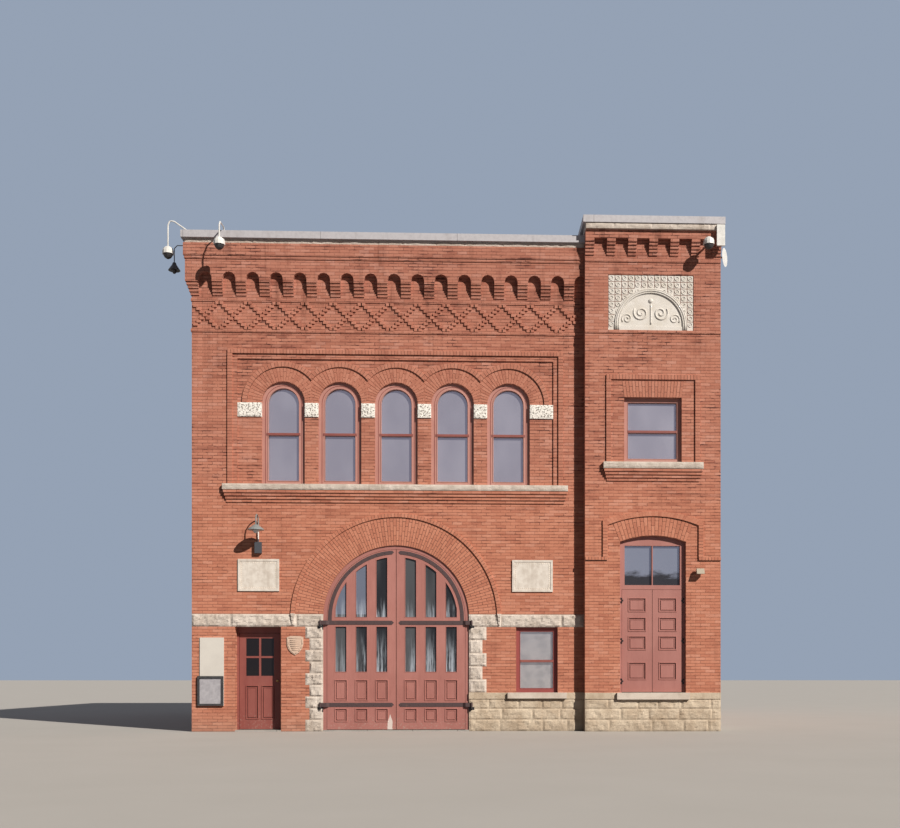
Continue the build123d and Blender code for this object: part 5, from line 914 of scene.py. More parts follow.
NODE_MATERIALS = (
    (BRICK_WALL, (
        "front_wall_left", "front_wall_middle", "front_wall_right", "arch_wall", "upper_front_wall",
        "front_cornice", "left_cornice", "left_wall", "right_wall", "back_wall", "tower_jambs",
        "tower_middle_wall", "tower_upper_wall", "tower_corbel_table", "tower_parapet",
    )),
    (MORTAR, ("raised_labels", "arch_label")),
    (WARM_ROCK, ("right_base", "base_stones")),
    (DRESSED, ("belt_stones", "quoins", "stone_sills")),
    (SPECKLED, ("impost_stones",)),
    (ROCK, ("frieze_stones",)),
    (TILE, ("tower_plaque",)),
    (TABLET, ("wall_tablets",)),
    (CONCRETE, ("ground_floor", "tower_floor")),
    (BOARDS, ("upper_floor",)),
    (ROOFING, ("main_roof", "tower_roof")),
    (COPING, ("main_coping", "tower_coping")),
    (DOOR_PAINT, ("door_arch_frame", "tower_door_frame", "tower_door_left_leaf", "tower_door_right_leaf")),
    (SOMBRE_PAINT, ("entry_door_frame", "entry_door_leaf")),
    (FRAME_PAINT, ("front_window_frames", "plain_window_frames")),
    (ENGINE_PAINT, ("apparatus_left_leaf", "apparatus_right_leaf")),
    (STREET_GLASS, ("front_window_glass", "plain_window_glass")),
    (DOOR_GLASS, ("apparatus_left_glass", "apparatus_right_glass")),
    (ENTRY_GLASS, ("entry_door_glass",)),
    (BLIND, ("window_blinds",)),
    (PLASTER, ("notice_boards",)),
    (LAMP, ("wall_lamp",)),
    (ENAMEL, ("wall_cameras",)),
    (BLACK, ("camera_bowls",)),
    (STRAP_IRON, ("apparatus_left_ironwork", "apparatus_right_ironwork")),
    (BLACK_IRON, ("door_pintles", "fixed_hinges", "tower_door_left_hardware", "tower_door_right_hardware")),
    (BRASS, ("entry_door_hardware",)),
)


def dress_frame():
    """Give every node of the frame its material."""
    for material, names in NODE_MATERIALS:
        for name in names:
            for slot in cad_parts[name].material_slots:
                slot.material = material


# Mesh helpers

class Shape:
    """Corners and faces gathered for one piece."""

    def __init__(self):
        self.corners = []
        self.faces = []

    def add(self, corners, faces):
        first = len(self.corners)
        self.corners += [tuple(corner) for corner in corners]
        self.faces += [tuple(first + i for i in face) for face in faces]

    def piece(self, name, material, body="building", smooth=False):
        """Make the gathered faces one object that rides on a body."""
        mesh = bpy.data.meshes.new(name)
        mesh.from_pydata(self.corners, [], self.faces)
        mesh.update()
        mesh.materials.append(material)
        if smooth:
            mesh.polygons.foreach_set("use_smooth", [True] * len(mesh.polygons))
        thing = bpy.data.objects.new(name, mesh)
        bpy.context.scene.collection.objects.link(thing)
        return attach(thing, body)


def block(shape, outline, face, back, chamfer=CHAMFER):
    """A brick with worn edges: outline in (x, z), anticlockwise as seen from the front."""
    count = len(outline)
    mid_x = sum(x for x, z in outline) / count
    mid_z = sum(z for x, z in outline) / count
    inner = []
    for x, z in outline:
        reach = max(math.hypot(x - mid_x, z - mid_z), 1e-6)
        share = max(1 - 1.6 * chamfer / reach, 0.2)
        inner.append((mid_x + (x - mid_x) * share, mid_z + (z - mid_z) * share))
    corners = [(x, face, z) for x, z in inner]
    corners += [(x, face + chamfer, z) for x, z in outline]
    corners += [(x, back, z) for x, z in outline]
    faces = [tuple(range(count))]
    for i in range(count):
        j = (i + 1) % count
        faces.append((i, count + i, count + j, j))
        faces.append((count + i, 2 * count + i, 2 * count + j, count + j))
    shape.add(corners, faces)


def plate(shape, outline, face):
    """A flat face that looks forwards."""
    shape.add([(x, face, z) for x, z in outline], [tuple(range(len(outline)))])


def rectangle(x0, x1, z0, z1):
    return [(x0, z0), (x1, z0), (x1, z1), (x0, z1)]


def beside(x, side, near, far):
    """Left and right ends of a stretch between two distances on one side of x."""
    return sorted((x + side * near, x + side * far))


def even_parts(first, last, count):
    """Start and end of each of the even parts from first to last."""
    step = (last - first) / count
    return [(first + step * i, first + step * (i + 1)) for i in range(count)]


def clip(outline, x_limit, side):
    """The part of an outline on one side of an upright line; side is 1 for the part left of it."""
    kept = []
    for (x0, z0), (x1, z1) in zip(outline, outline[1:] + outline[:1]):
        inside = side * (x_limit - x0) >= 0
        if inside:
            kept.append((x0, z0))
        if inside != (side * (x_limit - x1) >= 0):
            share = (x_limit - x0) / (x1 - x0)
            kept.append((x_limit, z0 + share * (z1 - z0)))
    return kept


def ring_point(x, z, radius, angle):
    """A point on a circle round (x, z), with the angle counted from +x upwards."""
    return (x + radius * math.cos(angle), z + radius * math.sin(angle))


def radial_brick(shape, centre, radii, angles, face, back, limits=()):
    """One brick of an arch, between two radii and two angles, cut at upright lines (x, side)."""
    x, z = centre
    low, high = radii
    first, last = angles
    gap_low = JOINT / 2 / low
    gap_high = JOINT / 2 / high
    outline = [
        ring_point(x, z, low, last - gap_low), ring_point(x, z, low, first + gap_low),
        ring_point(x, z, high, first + gap_high), ring_point(x, z, high, last - gap_high),
    ]
    for x_limit, side in limits:
        outline = clip(outline, x_limit, side)
    if len(outline) > 2 and abs(outline_area(outline)) > SMALLEST_CUT:
        block(shape, outline[::-1] if outline_area(outline) < 0 else outline, face, back)


def outline_area(outline):
    """Twice the area, below zero where the outline runs clockwise."""
    return sum(x0 * z1 - x1 * z0 for (x0, z0), (x1, z1) in zip(outline, outline[1:] + outline[:1]))


def split_radii(low, high, turn):
    """Brick ends along the radius, staggered from one row to the next."""
    ends = [low]
    step = BRICK if turn % 2 == 0 else HEADER
    while ends[-1] + step < high - SHORTEST_BRICK:
        ends.append(ends[-1] + step)
        step = BRICK
    ends.append(high)
    return list(zip(ends, ends[1:]))


def sector_plate(shape, centre, radii, angles, face, chords):
    """A flat sector of a ring, which is the mortar behind an arch's bricks."""
    x, z = centre
    corners = []
    for i in range(chords + 1):
        angle = angles[0] + (angles[1] - angles[0]) * i / chords
        for radius in radii:
            px, pz = ring_point(x, z, radius, angle)
            corners.append((px, face, pz))
    faces = [(2 * i, 2 * i + 1, 2 * i + 3, 2 * i + 2) for i in range(chords)]
    shape.add(corners, faces)


# Brickwork with bricks of its own

def arch_bricks(bricks, joints):
    """Long radial bricks over the engine door."""
    centre = (ARCH_X, ARCH_SPRING)
    low = ARCH_RADIUS
    high = ARCH_RADIUS + ARCH_RING
    foot = math.asin((BELT_HIGH.z - ARCH_SPRING) / low)
    sector_plate(joints, centre, (low, high), (foot, math.pi - foot), FRONT - MORTAR_PROUD, RING_CHORDS)
    for i, angles in enumerate(even_parts(foot, math.pi - foot, ARCH_BRICKS)):
        for near, far in split_radii(low, high, i):
            radii = (near + JOINT / 2, far - JOINT / 2)
            radial_brick(bricks, centre, radii, angles, FRONT - PROUD, FRONT + BRICK_BACK)
    near, far = ARCH_LABEL
    foot = math.asin((BELT_HIGH.z - ARCH_SPRING) / near)
    count = round((math.pi - 2 * foot) * near / LABEL_PITCH)
    for angles in even_parts(foot, math.pi - foot, count):
        radial_brick(bricks, centre, (near, far), angles, FRONT - LABEL_PROUD - LABEL_FACE, FRONT)


def window_arch_bricks(bricks, joints):
    """Radial bricks and raised headers over each arched window, cut where two rings meet."""
    face = FRONT + FIELD_RECESS
    bed = 2 * MORTAR_PROUD
    high = WINDOW_RADIUS + WINDOW_RING
    near, far = WINDOW_LABEL
    count = round(math.pi * near / LABEL_PITCH)
    for number, x in enumerate(WINDOW_XS):
        centre = (x, WINDOW_SPRING)
        limits = []
        if number > 0:
            limits.append((x - WINDOW_PITCH / 2, -1))
        if number < WINDOW_COUNT - 1:
            limits.append((x + WINDOW_PITCH / 2, 1))
        for i, angles in enumerate(even_parts(0, math.pi, WINDOW_BRICKS)):
            for inner, outer in split_radii(WINDOW_RADIUS, high, i):
                radii = (inner + JOINT / 3, outer - JOINT / 3)
                radial_brick(bricks, centre, radii, angles, face - PROUD, face + BRICK_BACK, limits)
                radial_brick(joints, centre, (inner, outer), angles, face - bed, face + bed, limits)
        for angles in even_parts(0, math.pi, count):
            radial_brick(bricks, centre, (near, far), angles, face - LABEL_PROUD - LABEL_FACE, face, limits)


def label_run(bricks, start, end, face):
    """Raised bricks side by side along a straight label, from corner to corner of its box."""
    (x0, z0), (x1, z1) = start, end
    upright = z1 - z0 > x1 - x0
    length = z1 - z0 if upright else x1 - x0
    pitch = COURSE if upright else LABEL_PITCH
    gap = JOINT / 2
    for low, high in even_parts(0, length, max(round(length / pitch), 1)):
        if upright:
            outline = rectangle(x0, x1, z0 + low + gap, z0 + high - gap)
        else:
            outline = rectangle(x0 + low + gap, x0 + high - gap, z0, z1)
        block(bricks, outline, face - LABEL_PROUD - LABEL_FACE, face)


def hood_label(bricks, x, halves, tops, bottom, face):
    """Raised bricks over a square panel and down both of its sides."""
    inner, outer = halves
    low, high = tops
    label_run(bricks, (x - outer, low), (x + outer, high), face)
    for side in (-1, 1):
        x0, x1 = beside(x, side, inner, outer)
        label_run(bricks, (x0, bottom), (x1, low), face)


def straight_labels(bricks):
    """Raised headers of the window panel, of the tower window and of the tower door."""
    hood_label(bricks, ARCH_X, PANEL_HALF, PANEL_TOP, SILL_TOP, FRONT)
    hood_label(bricks, TOWER_X, TOWER_HOOD_HALF, TOWER_HOOD_TOP, TOWER_WINDOW_LOW, TOWER_FRONT)
    (inner, low), (outer, high) = TOWER_ARCH_LABEL
    face = TOWER_FRONT - LABEL_PROUD - LABEL_FACE
    for side in (-1, 1):
        x0, x1 = beside(TOWER_X, side, inner, outer)
        label_run(bricks, (x0, TOWER_ARCH_FEET + COURSE), (x1, low), TOWER_FRONT)
        x0, x1 = beside(TOWER_X, side, inner, RIGHT - TOWER_X)
        label_run(bricks, (x0, TOWER_ARCH_FEET), (x1, TOWER_ARCH_FEET + COURSE), TOWER_FRONT)
        x0 = TOWER_X + side * inner
        x1 = TOWER_X + side * outer
        corner = [(x0, low), (x1, high), (x1, low)] if side < 0 else [(x0, low), (x1, low), (x1, high)]
        block(bricks, corner, face, TOWER_FRONT, 0.001)
    count = round(2 * outer / LABEL_PITCH)
    below = segment_points(inner, low, TOWER_ARCH_RISE, count)
    above = segment_points(outer, high, TOWER_ARCH_RISE, count)
    for i in range(count):
        outline = [below[i], below[i + 1], above[i + 1], above[i]]
        block(bricks, outline, face, TOWER_FRONT)


def flat_arc(half, rise):
    """Radius of a flat arc, and the angle from its middle to its foot."""
    radius = (half * half + rise * rise) / (2 * rise)
    return radius, math.asin(half / radius)


def segment_points(half, spring, rise, count):
    """Points from left to right along a flat arc over the tower door."""
    radius, lean = flat_arc(half, rise)
    points = []
    for i in range(count + 1):
        angle = math.pi / 2 + lean - 2 * lean * i / count
        points.append(ring_point(TOWER_X, spring + rise - radius, radius, angle))
    return points


def soldier_bricks(bricks, joints, x, half, bottom, height, lean, face):
    """Upright bricks over a flat-headed window, fanned outwards."""
    count = round(2 * half / COURSE)
    step = 2 * half / count
    spread = (half + lean) / half
    corners = [(-half, 0), (half, 0), (half * spread, height), (-half * spread, height)]
    plate(joints, [(x + a, bottom + b) for a, b in corners], face - MORTAR_PROUD)
    for i in range(count):
        left = -half + step * i + JOINT / 2
        right = left + step - JOINT
        cut = height * SOLDIER_CUTS[i % 2]
        for low, high in ((0, cut), (cut, height)):
            top = 1 + (spread - 1) * high / height
            foot = 1 + (spread - 1) * low / height
            outline = [
                (x + left * foot, bottom + low + JOINT / 3), (x + right * foot, bottom + low + JOINT / 3),
                (x + right * top, bottom + high - JOINT / 3), (x + left * top, bottom + high - JOINT / 3),
            ]
            block(bricks, outline, face - PROUD, face + BRICK_BACK)


def plain_window_heads(bricks, joints):
    """Upright bricks over the plain windows of the sides and the back."""
    head = Shape()
    bed = Shape()
    soldier_bricks(head, bed, 0, PLAIN_HALF, 0, PLAIN_HEAD, HEAD_LEAN, 0)
    places = [(Vector((LEFT, y, 0)), -math.pi / 2) for y in SIDE_WINDOW_YS]
    places += [(Vector((RIGHT, y, 0)), math.pi / 2) for y in SIDE_WINDOW_YS]
    places += [(Vector((x, BACK, 0)), math.pi) for x in BACK_WINDOW_XS]
    for place, angle in places:
        for top in PLAIN_TOPS:
            move = Matrix.Translation(place + Vector((0, 0, top))) @ Matrix.Rotation(angle, 4, "Z")
            bricks.add([move @ Vector(corner) for corner in head.corners], head.faces)
            joints.add([move @ Vector(corner) for corner in bed.corners], bed.faces)


def tower_door_bricks(bricks, joints):
    """Radial bricks between the flat arc of the door's head and its label."""
    radius, lean = flat_arc(TOWER_DOOR_WIDTH / 2, TOWER_DOOR_RISE)
    centre = (TOWER_X, TOWER_DOOR_SPRING + TOWER_DOOR_RISE - radius)
    count = round(TOWER_DOOR_WIDTH / COURSE)
    high = radius + TOWER_ARCH_RING
    for i, angles in enumerate(even_parts(math.pi / 2 - lean, math.pi / 2 + lean, count)):
        sector_plate(joints, centre, (radius, high), angles, TOWER_FRONT - MORTAR_PROUD, 1)
        for near, far in split_radii(radius, high, i):
            radii = (near + JOINT / 3, far - JOINT / 3)
            radial_brick(bricks, centre, radii, angles, TOWER_FRONT - PROUD, TOWER_FRONT + BRICK_BACK)


def diaper_bricks(bricks):
    """Two zigzags of raised headers that cross in a row of diamonds."""
    bottom = CORNICE_LOW.z + STRING_HEIGHT
    step = DIAPER_PERIOD / DIAPER_ROWS
    first = LEFT + DIAPER_START
    middle = bottom + DIAPER_ROWS * COURSE / 2 - DIAPER_DROP
    half = HEADER / 2 - JOINT / 2
    places = set()
    for row in range(DIAPER_ROWS):
        rise = row - (DIAPER_ROWS - 1) / 2
        for column in range(int((TOWER_LEFT - LEFT) / DIAPER_PERIOD) + 2):
            for way in (-1, 1):
                x = first + DIAPER_PERIOD * column + way * rise * step
                if LEFT + half < x < TOWER_LEFT - half:
                    places.add((round(x, 4), round(middle + rise * COURSE, 4)))
    for x, z in sorted(places):
        low = z - COURSE / 2 + JOINT / 2
        high = z + COURSE / 2 - JOINT / 2
        block(bricks, rectangle(x - half, x + half, low, high), FRONT - DIAPER_PROUD, FRONT + BRICK_BACK)


def brick_pieces():
    """All bricks that stand out or stand apart, and the mortar behind them."""
    bricks = Shape()
    joints = Shape()
    arch_bricks(bricks, joints)
    window_arch_bricks(bricks, joints)
    half = TOWER_WINDOW_WIDTH / 2
    soldier_bricks(bricks, joints, TOWER_X, half, TOWER_WINDOW_HIGH, TOWER_HEAD, HEAD_LEAN, TOWER_FRONT)
    tower_door_bricks(bricks, joints)
    diaper_bricks(bricks)
    straight_labels(bricks)
    plain_window_heads(bricks, joints)
    bricks.piece("arch_and_diaper_bricks", BRICK_PIECE)
    joints.piece("arch_joints", MORTAR)


# Stones with rough faces

def rock_face(shape, origin, along, out, width, height, bulge, seed, cells=None):
    """A rough block face: origin at its lower corner, along and out as unit vectors."""
    fewest, most = ROCK_COLUMNS
    columns = cells or max(fewest, min(most, round(width / ROCK_GRID[0])))
    fewest, most = ROCK_ROWS
    rows = max(fewest, min(most, round(height / ROCK_GRID[1])))
    up = Vector((0, 0, 1))
    corners = []
    for j in range(rows + 1):
        for i in range(columns + 1):
            u = i / columns
            v = j / rows
            edge = min(u * width, (1 - u) * width, v * height, (1 - v) * height)
            swell = min(edge / ROCK_SLOPE, 1.0)
            spot = Vector((u * width * 9 + seed * 7.3, v * height * 9, seed * 3.1))
            rough = 0.60 + 0.60 * noise.noise(spot) + 0.45 * noise.noise(spot * 2.9)
            depth = ROCK_MARGIN + bulge * swell * max(rough, 0.08)
            corners.append(origin + along * (u * width) + up * (v * height) + out * depth)
    faces = []
    line = columns + 1
    for j in range(rows):
        for i in range(columns):
            a = j * line + i
            faces.append((a, a + 1, a + 1 + line, a + line))
    border = list(range(line)) + [j * line + columns for j in range(1, rows + 1)]
    border += [rows * line + i for i in range(columns - 1, -1, -1)]
    border += [j * line for j in range(rows - 1, 0, -1)]
    first = len(corners)
    for index in border:
        corner = corners[index]
        depth = (corner - origin).dot(out)
        corners.append(corner - out * (depth + ROCK_BACK))
    for k in range(len(border)):
        n = (k + 1) % len(border)
        faces.append((border[k], first + k, first + n, border[n]))
    if along.cross(up).dot(out) < 0:
        faces = [face[::-1] for face in faces]
    shape.add(corners, faces)


FACE_FRONT = (Vector((1, 0, 0)), Vector((0, -1, 0)))
FACE_RIGHT = (Vector((0, 1, 0)), Vector((1, 0, 0)))
FACE_LEFT = (Vector((0, 1, 0)), Vector((-1, 0, 0)))


def rock_row(shape, start, end, low, high, place, sides, lengths, bulge):
    """A course of stones from start to end; place is the face's other coordinate."""
    along, out = sides
    at = start
    number = 0
    height = high - low - 2 * ROCK_MARGIN
    while at < end - SHORTEST_STONE / 6:
        width = lengths[number % len(lengths)]
        if at + width > end - SHORTEST_STONE:
            width = end - at
        if abs(along.x) > 0:
            origin = Vector((at + ROCK_MARGIN, place, low + ROCK_MARGIN))
        else:
            origin = Vector((place, at + ROCK_MARGIN, low + ROCK_MARGIN))
        seed = at * 3 + low * 11 + place
        rock_face(shape, origin, along, out, width - 2 * ROCK_MARGIN, height, bulge, seed)
        at += width
        number += 1


def quoin_stones(shape):
    """Long and short blocks up both sides of the engine door."""
    for side, foot in ((-1, 0.0), (1, BASE_TOP)):
        count = round((BELT_LOW.z - foot) / QUOIN_HEIGHT)
        height = (BELT_LOW.z - foot) / count
        edge = ARCH_X + side * ARCH_RADIUS
        for i in range(count):
            reach = QUOIN_LONG if (count - 1 - i) % 2 == 0 else QUOIN_SHORT
            x0, x1 = beside(edge, side, 0, reach)
            low = foot + i * height
            rock_row(shape, x0, x1, low, low + height, FRONT, FACE_FRONT, (1.0,), ROCK_BULGE)


def belt_faces(shape):
    """Blocks of the belt, on both sides of the arch."""
    left = ARCH_X - math.sqrt(ARCH_RADIUS ** 2 - (BELT_HIGH.z - ARCH_SPRING) ** 2)
    right = 2 * ARCH_X - left
    low = BELT_LOW.z
    high = BELT_HIGH.z
    rock_row(shape, LEFT, left, low, high, FRONT, FACE_FRONT, (0.85, 1.45, 0.6), ROCK_BULGE)
    rock_row(shape, right, TOWER_LEFT, low, high, FRONT, FACE_FRONT, (0.72, 1.35, 0.5), ROCK_BULGE)


def base_faces(shape):
    """Three courses of ashlar below the ledge, along the front, the tower and the right side."""
    tops = BASE_BEDS[1:] + (BASE_TOP - LEDGE_HEIGHT,)
    lengths = ((0.70, 0.95, 0.55), (0.74, 0.68, 0.62, 0.80), (0.45, 0.66, 0.52))
    for low, high, row in zip(BASE_BEDS, tops, lengths):
        rock_row(shape, ARCH_X + ARCH_RADIUS, TOWER_LEFT, low, high, FRONT, FACE_FRONT, row, BASE_BULGE)
        rock_row(shape, TOWER_LEFT, RIGHT, low, high, TOWER_FRONT, FACE_FRONT, row[::-1], BASE_BULGE)
        rock_row(shape, TOWER_FRONT, BACK - BASE_END, low, high, RIGHT, FACE_RIGHT, row, BASE_BULGE)


def frieze_faces(shape):
    """Blocks over the arcade, round the left corner, and over the tower's corbels."""
    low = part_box("front_cornice")[1].z
    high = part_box("main_coping")[0].z
    tower_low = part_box("tower_corbel_table")[1].z
    face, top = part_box("frieze_stones")
    lengths = (0.62, 0.85, 0.55, 0.74)
    front = FRONT - (LEFT - face.x)
    rock_row(shape, face.x, TOWER_LEFT, low, high, front, FACE_FRONT, lengths, TRIM_BULGE)
    rock_row(shape, TOWER_LEFT, RIGHT, tower_low, top.z, face.y, FACE_FRONT, lengths, TRIM_BULGE)
    rock_row(shape, front, BACK, low, high, face.x, FACE_LEFT, lengths, TRIM_BULGE)


def sill_faces(shape):
    """Long stones under the window panel and under the tower window."""
    start = ARCH_X - MAIN_SILL_HALF
    end = ARCH_X + MAIN_SILL_HALF
    face = FRONT - SILL_PROUD
    rock_row(shape, start, end, SILL_LOW, SILL_TOP, face, FACE_FRONT, (1.9, 1.6, 2.2), TRIM_BULGE)
    top = TOWER_WINDOW_LOW
    start = TOWER_X - TOWER_SILL_HALF
    end = TOWER_X + TOWER_SILL_HALF
    face = TOWER_FRONT - SILL_PROUD
    rock_row(shape, start, end, top - TOWER_SILL_HEIGHT, top, face, FACE_FRONT, (3.0,), TRIM_BULGE)


def impost_faces(shape):
    """Carved faces of the blocks between the heads of the arched windows."""
    margin = IMPOST_MARGIN
    edges = [IMPOST_LOW.x]
    for x in WINDOW_XS:
        edges += [x - WINDOW_RADIUS, x + WINDOW_RADIUS]
    edges.append(IMPOST_HIGH.x)
    height = IMPOST_HIGH.z - IMPOST_LOW.z - 2 * margin
    for i in range(0, len(edges), 2):
        origin = Vector((edges[i] + margin, IMPOST_LOW.y, IMPOST_LOW.z + margin))
        width = edges[i + 1] - edges[i] - 2 * margin
        rock_face(shape, origin, *FACE_FRONT, width, height, IMPOST_CARVING, i * 5.0 + 1, cells=16)


def stone_faces():
    """The faces of all stones: rough ones, the ashlar at the foot and the carved imposts."""
    rough = Shape()
    quoin_stones(rough)
    belt_faces(rough)
    frieze_faces(rough)
    sill_faces(rough)
    rough.piece("rough_stone_faces", ROCK)
    base = Shape()
    base_faces(base)
    base.piece("base_stone_faces", WARM_ROCK)
    carved = Shape()
    impost_faces(carved)
    carved.piece("carved_impost_faces", SPECKLED)


# Tiles and ornament of the tower plaque

def outside_lunette(x, z):
    """Whether a place on the plaque lies outside its half-round field."""
    if z < LUNETTE_SPRING:
        return abs(x - PLAQUE_X) > LUNETTE_HALF
    return math.hypot(x - PLAQUE_X, z - LUNETTE_SPRING) > LUNETTE_HALF


def ring_relief(shape, x, z, inner, outer, face, rise, keep, chords=20):
    """A raised ring with sloped sides; keep says which part of it shows."""
    profile = ((outer, 0.0), (outer - 0.004, rise), (inner + 0.004, rise), (inner, 0.0))
    for first, last in even_parts(0, 2 * math.pi, chords):
        mx, mz = ring_point(x, z, outer, (first + last) / 2)
        if not keep(mx, mz):
            continue
        corners = []
        for angle in (first, last):
            for radius, lift in profile:
                px, pz = ring_point(x, z, radius, angle)
                corners.append((px, face - lift, pz))
        shape.add(corners, [(k, k + 1, k + 5, k + 4) for k in range(3)])


def boss(shape, x, z, radius, face, rise, sides=10):
    """A small dome."""
    corners = []
    rings = ((1.0, 0.0), (0.85, 0.55), (0.5, 0.88))
    for share, lift in rings:
        for k in range(sides):
            px, pz = ring_point(x, z, radius * share, 2 * math.pi * k / sides)
            corners.append((px, face - rise * lift, pz))
    corners.append((x, face - rise, z))
    faces = []
    for r in range(2):
        for k in range(sides):
            n = (k + 1) % sides
            near = r * sides
            far = near + sides
            faces.append((near + k, near + n, far + n, far + k))
    for k in range(sides):
        faces.append((2 * sides + k, 2 * sides + (k + 1) % sides, 3 * sides))
    shape.add(corners, faces)


def plaque_tiles():
    """A ring and a small dome on each square tile, with dark joints between the tiles."""
    face = PLAQUE_FACE
    pitch = (PLAQUE_HIGH.x - PLAQUE_LOW.x) / PLAQUE_TILES
    rows = int((PLAQUE_HIGH.z - PLAQUE_LOW.z) / pitch)
    tiles = Shape()
    joints = Shape()
    half = pitch / 2
    inner, outer = [pitch * share for share in TILE_RING]
    for row in range(rows):
        z = PLAQUE_HIGH.z - pitch * (row + 0.5)
        for column in range(PLAQUE_TILES):
            x = PLAQUE_LOW.x + pitch * (column + 0.5)
            ring_relief(tiles, x, z, inner, outer, face, TILE_RISE, outside_lunette)
            if not outside_lunette(x, z):
                continue
            boss(tiles, x, z, pitch * TILE_BOSS, face, TILE_RISE)
            bed = rectangle(x - half, x + half, z + half - TILE_JOINT, z + half)
            plate(joints, bed, face - TILE_BEDS[0])
            upright = rectangle(x - half, x - half + TILE_JOINT, z - half, z + half)
            plate(joints, upright, face - TILE_BEDS[1])
    tiles.piece("plaque_tiles", TILE)
    joints.piece("plaque_joints", MORTAR)


def tube(shape, points, radius, sides=8):
    """A round bar along points."""
    rings = []
    for i, point in enumerate(points):
        before = points[max(i - 1, 0)]
        after = points[min(i + 1, len(points) - 1)]
        way = (after - before).normalized()
        side = way.cross(Vector((0, 1, 0))).normalized()
        lift = side.cross(way)
        ring = []
        for k in range(sides):
            angle = 2 * math.pi * k / sides
            ring.append(point + side * (radius * math.cos(angle)) + lift * (radius * math.sin(angle)))
        rings.append(ring)
    corners = [corner for ring in rings for corner in ring]
    faces = []
    for i in range(len(points) - 1):
        for k in range(sides):
            n = (k + 1) % sides
            faces.append((i * sides + k, (i + 1) * sides + k, (i + 1) * sides + n, i * sides + n))
    faces.append(tuple(range(sides)))
    faces.append(tuple(len(corners) - 1 - k for k in range(sides)))
    shape.add(corners, faces)


def scroll(x, z, size, way, lean, turns=1.6, steps=28):
    """Points of a spiral that opens from its eye to a foot."""
    points = []
    for i in range(steps + 1):
        share = i / steps
        px, pz = ring_point(x, z, size * (0.16 + 0.84 * share), lean + way * turns * 2 * math.pi * share)
        points.append(Vector((px, PLAQUE_FACE, pz)))
    return points


def half_round(x, spring, reach, foot, face, chords):
    """Points up the right side of an arched outline, over its head and down to its left foot."""
    points = [Vector((x + reach, face, foot))]
    for i in range(chords + 1):
        px, pz = ring_point(x, spring, reach, math.pi * i / chords)
        points.append(Vector((px, face, pz)))
    points.append(Vector((x - reach, face, foot)))
    return points


def lunette_mouldings():
    """Half-round mouldings of the rim, and scrolls on both sides of a stem with a round head."""
    shape = Shape()
    face = PLAQUE_FACE - ROLL_LIFT
    foot = PLAQUE_LOW.z + ROLL_FOOT
    for depth, radius in LUNETTE_ROLLS:
        reach = LUNETTE_HALF - depth
        tube(shape, half_round(PLAQUE_X, LUNETTE_SPRING, reach, foot, face, LUNETTE_CHORDS), radius)
    for side in (-1, 1):
        lean = math.pi if side > 0 else 0.0
        for offset, rise, size, way, radius in SCROLLS:
            points = scroll(PLAQUE_X + side * offset, PLAQUE_LOW.z + rise, size, side * way, lean)
            tube(shape, points, radius)
    foot = PLAQUE_LOW.z + STEM_FOOT
    steps = [STEM_LENGTH * i / STEM_PARTS for i in range(STEM_PARTS + 1)]
    tube(shape, [Vector((PLAQUE_X, PLAQUE_FACE, foot + step)) for step in steps], STEM_RADIUS)
    boss(shape, PLAQUE_X, PLAQUE_LOW.z + FINIAL_RISE, FINIAL_RADIUS, PLAQUE_FACE, FINIAL_HEIGHT, 14)
    shape.piece("lunette_mouldings", TILE, smooth=True)


def tablet_borders():
    """A row of small blocks round the field of each bare tablet."""
    shape = Shape()
    face = FRONT - TABLET_FACE
    top = TABLETS_HIGH.z - BORDER_MARGIN
    foot = TABLETS_HIGH.z - TABLET_HEIGHT + BORDER_MARGIN
    across, upward = BORDER_COUNTS
    for x in (ARCH_X - TABLET_OFFSET, ARCH_X + TABLET_OFFSET):
        spots = []
        for i in range(across):
            px = x - BORDER_HALF + 2 * BORDER_HALF * (i + 0.5) / across
            spots += [(px, top), (px, foot)]
        for i in range(1, upward):
            pz = foot + (top - foot) * i / upward
            spots += [(x - BORDER_HALF, pz), (x + BORDER_HALF, pz)]
        for px, pz in spots:
            boss(shape, px, pz, BORDER_BOSS, face, STUD_RISE, 8)
    shape.piece("tablet_borders", CARVED)


def label_stops():
    """Small carved blocks at the feet of the engine door's label."""
    shape = Shape()
    near, far = ARCH_LABEL
    lean = math.asin((BELT_HIGH.z - ARCH_SPRING) / near)
    for side in (-1, 1):
        x = ARCH_X + side * (near + far) / 2 * math.cos(lean)
        for i in range(STOP_BLOCKS):
            half = STOP_HALF - STOP_TAPER * i
            high = BELT_HIGH.z + STOP_LIFT - STOP_PITCH * i
            low = high - STOP_HEIGHT
            outline = [(x - half * 0.6, low), (x + half * 0.6, low), (x + half, high), (x - half, high)]
            block(shape, outline, FRONT - STOP_PROUD + STOP_TAPER / 2 * i, FRONT, 0.010)
    shape.piece("label_stops", ROCK)


def shield_ribs():
    """A rim and plain ribs on the shield."""
    shape = Shape()
    x = ARCH_X - ARCH_RADIUS - QUOIN_LONG - SHIELD_GAP - SHIELD_HALF
    z = TABLETS_LOW.z
    face = FRONT - TABLET_FACE
    points = [(x + a, z + b) for a, b in SHIELD_RIM] + [(x - a, z + b) for a, b in SHIELD_RIM[-2::-1]]
    for start, end in zip(points, points[1:] + points[:1]):
        tube(shape, [Vector((start[0], face, start[1])), Vector((end[0], face, end[1]))], SHIELD_BEAD, 6)
    for i in range(RIB_COUNT):
        reach = RIB_HALF - RIB_TAPER * max(0, 3 - i)
        rib = z + RIB_FOOT + RIB_PITCH * i
        tube(shape, [Vector((x - reach, face, rib)), Vector((x + reach, face, rib))], RIB_RADIUS, 6)
    shape.piece("shield_ribs", TABLET, smooth=True)


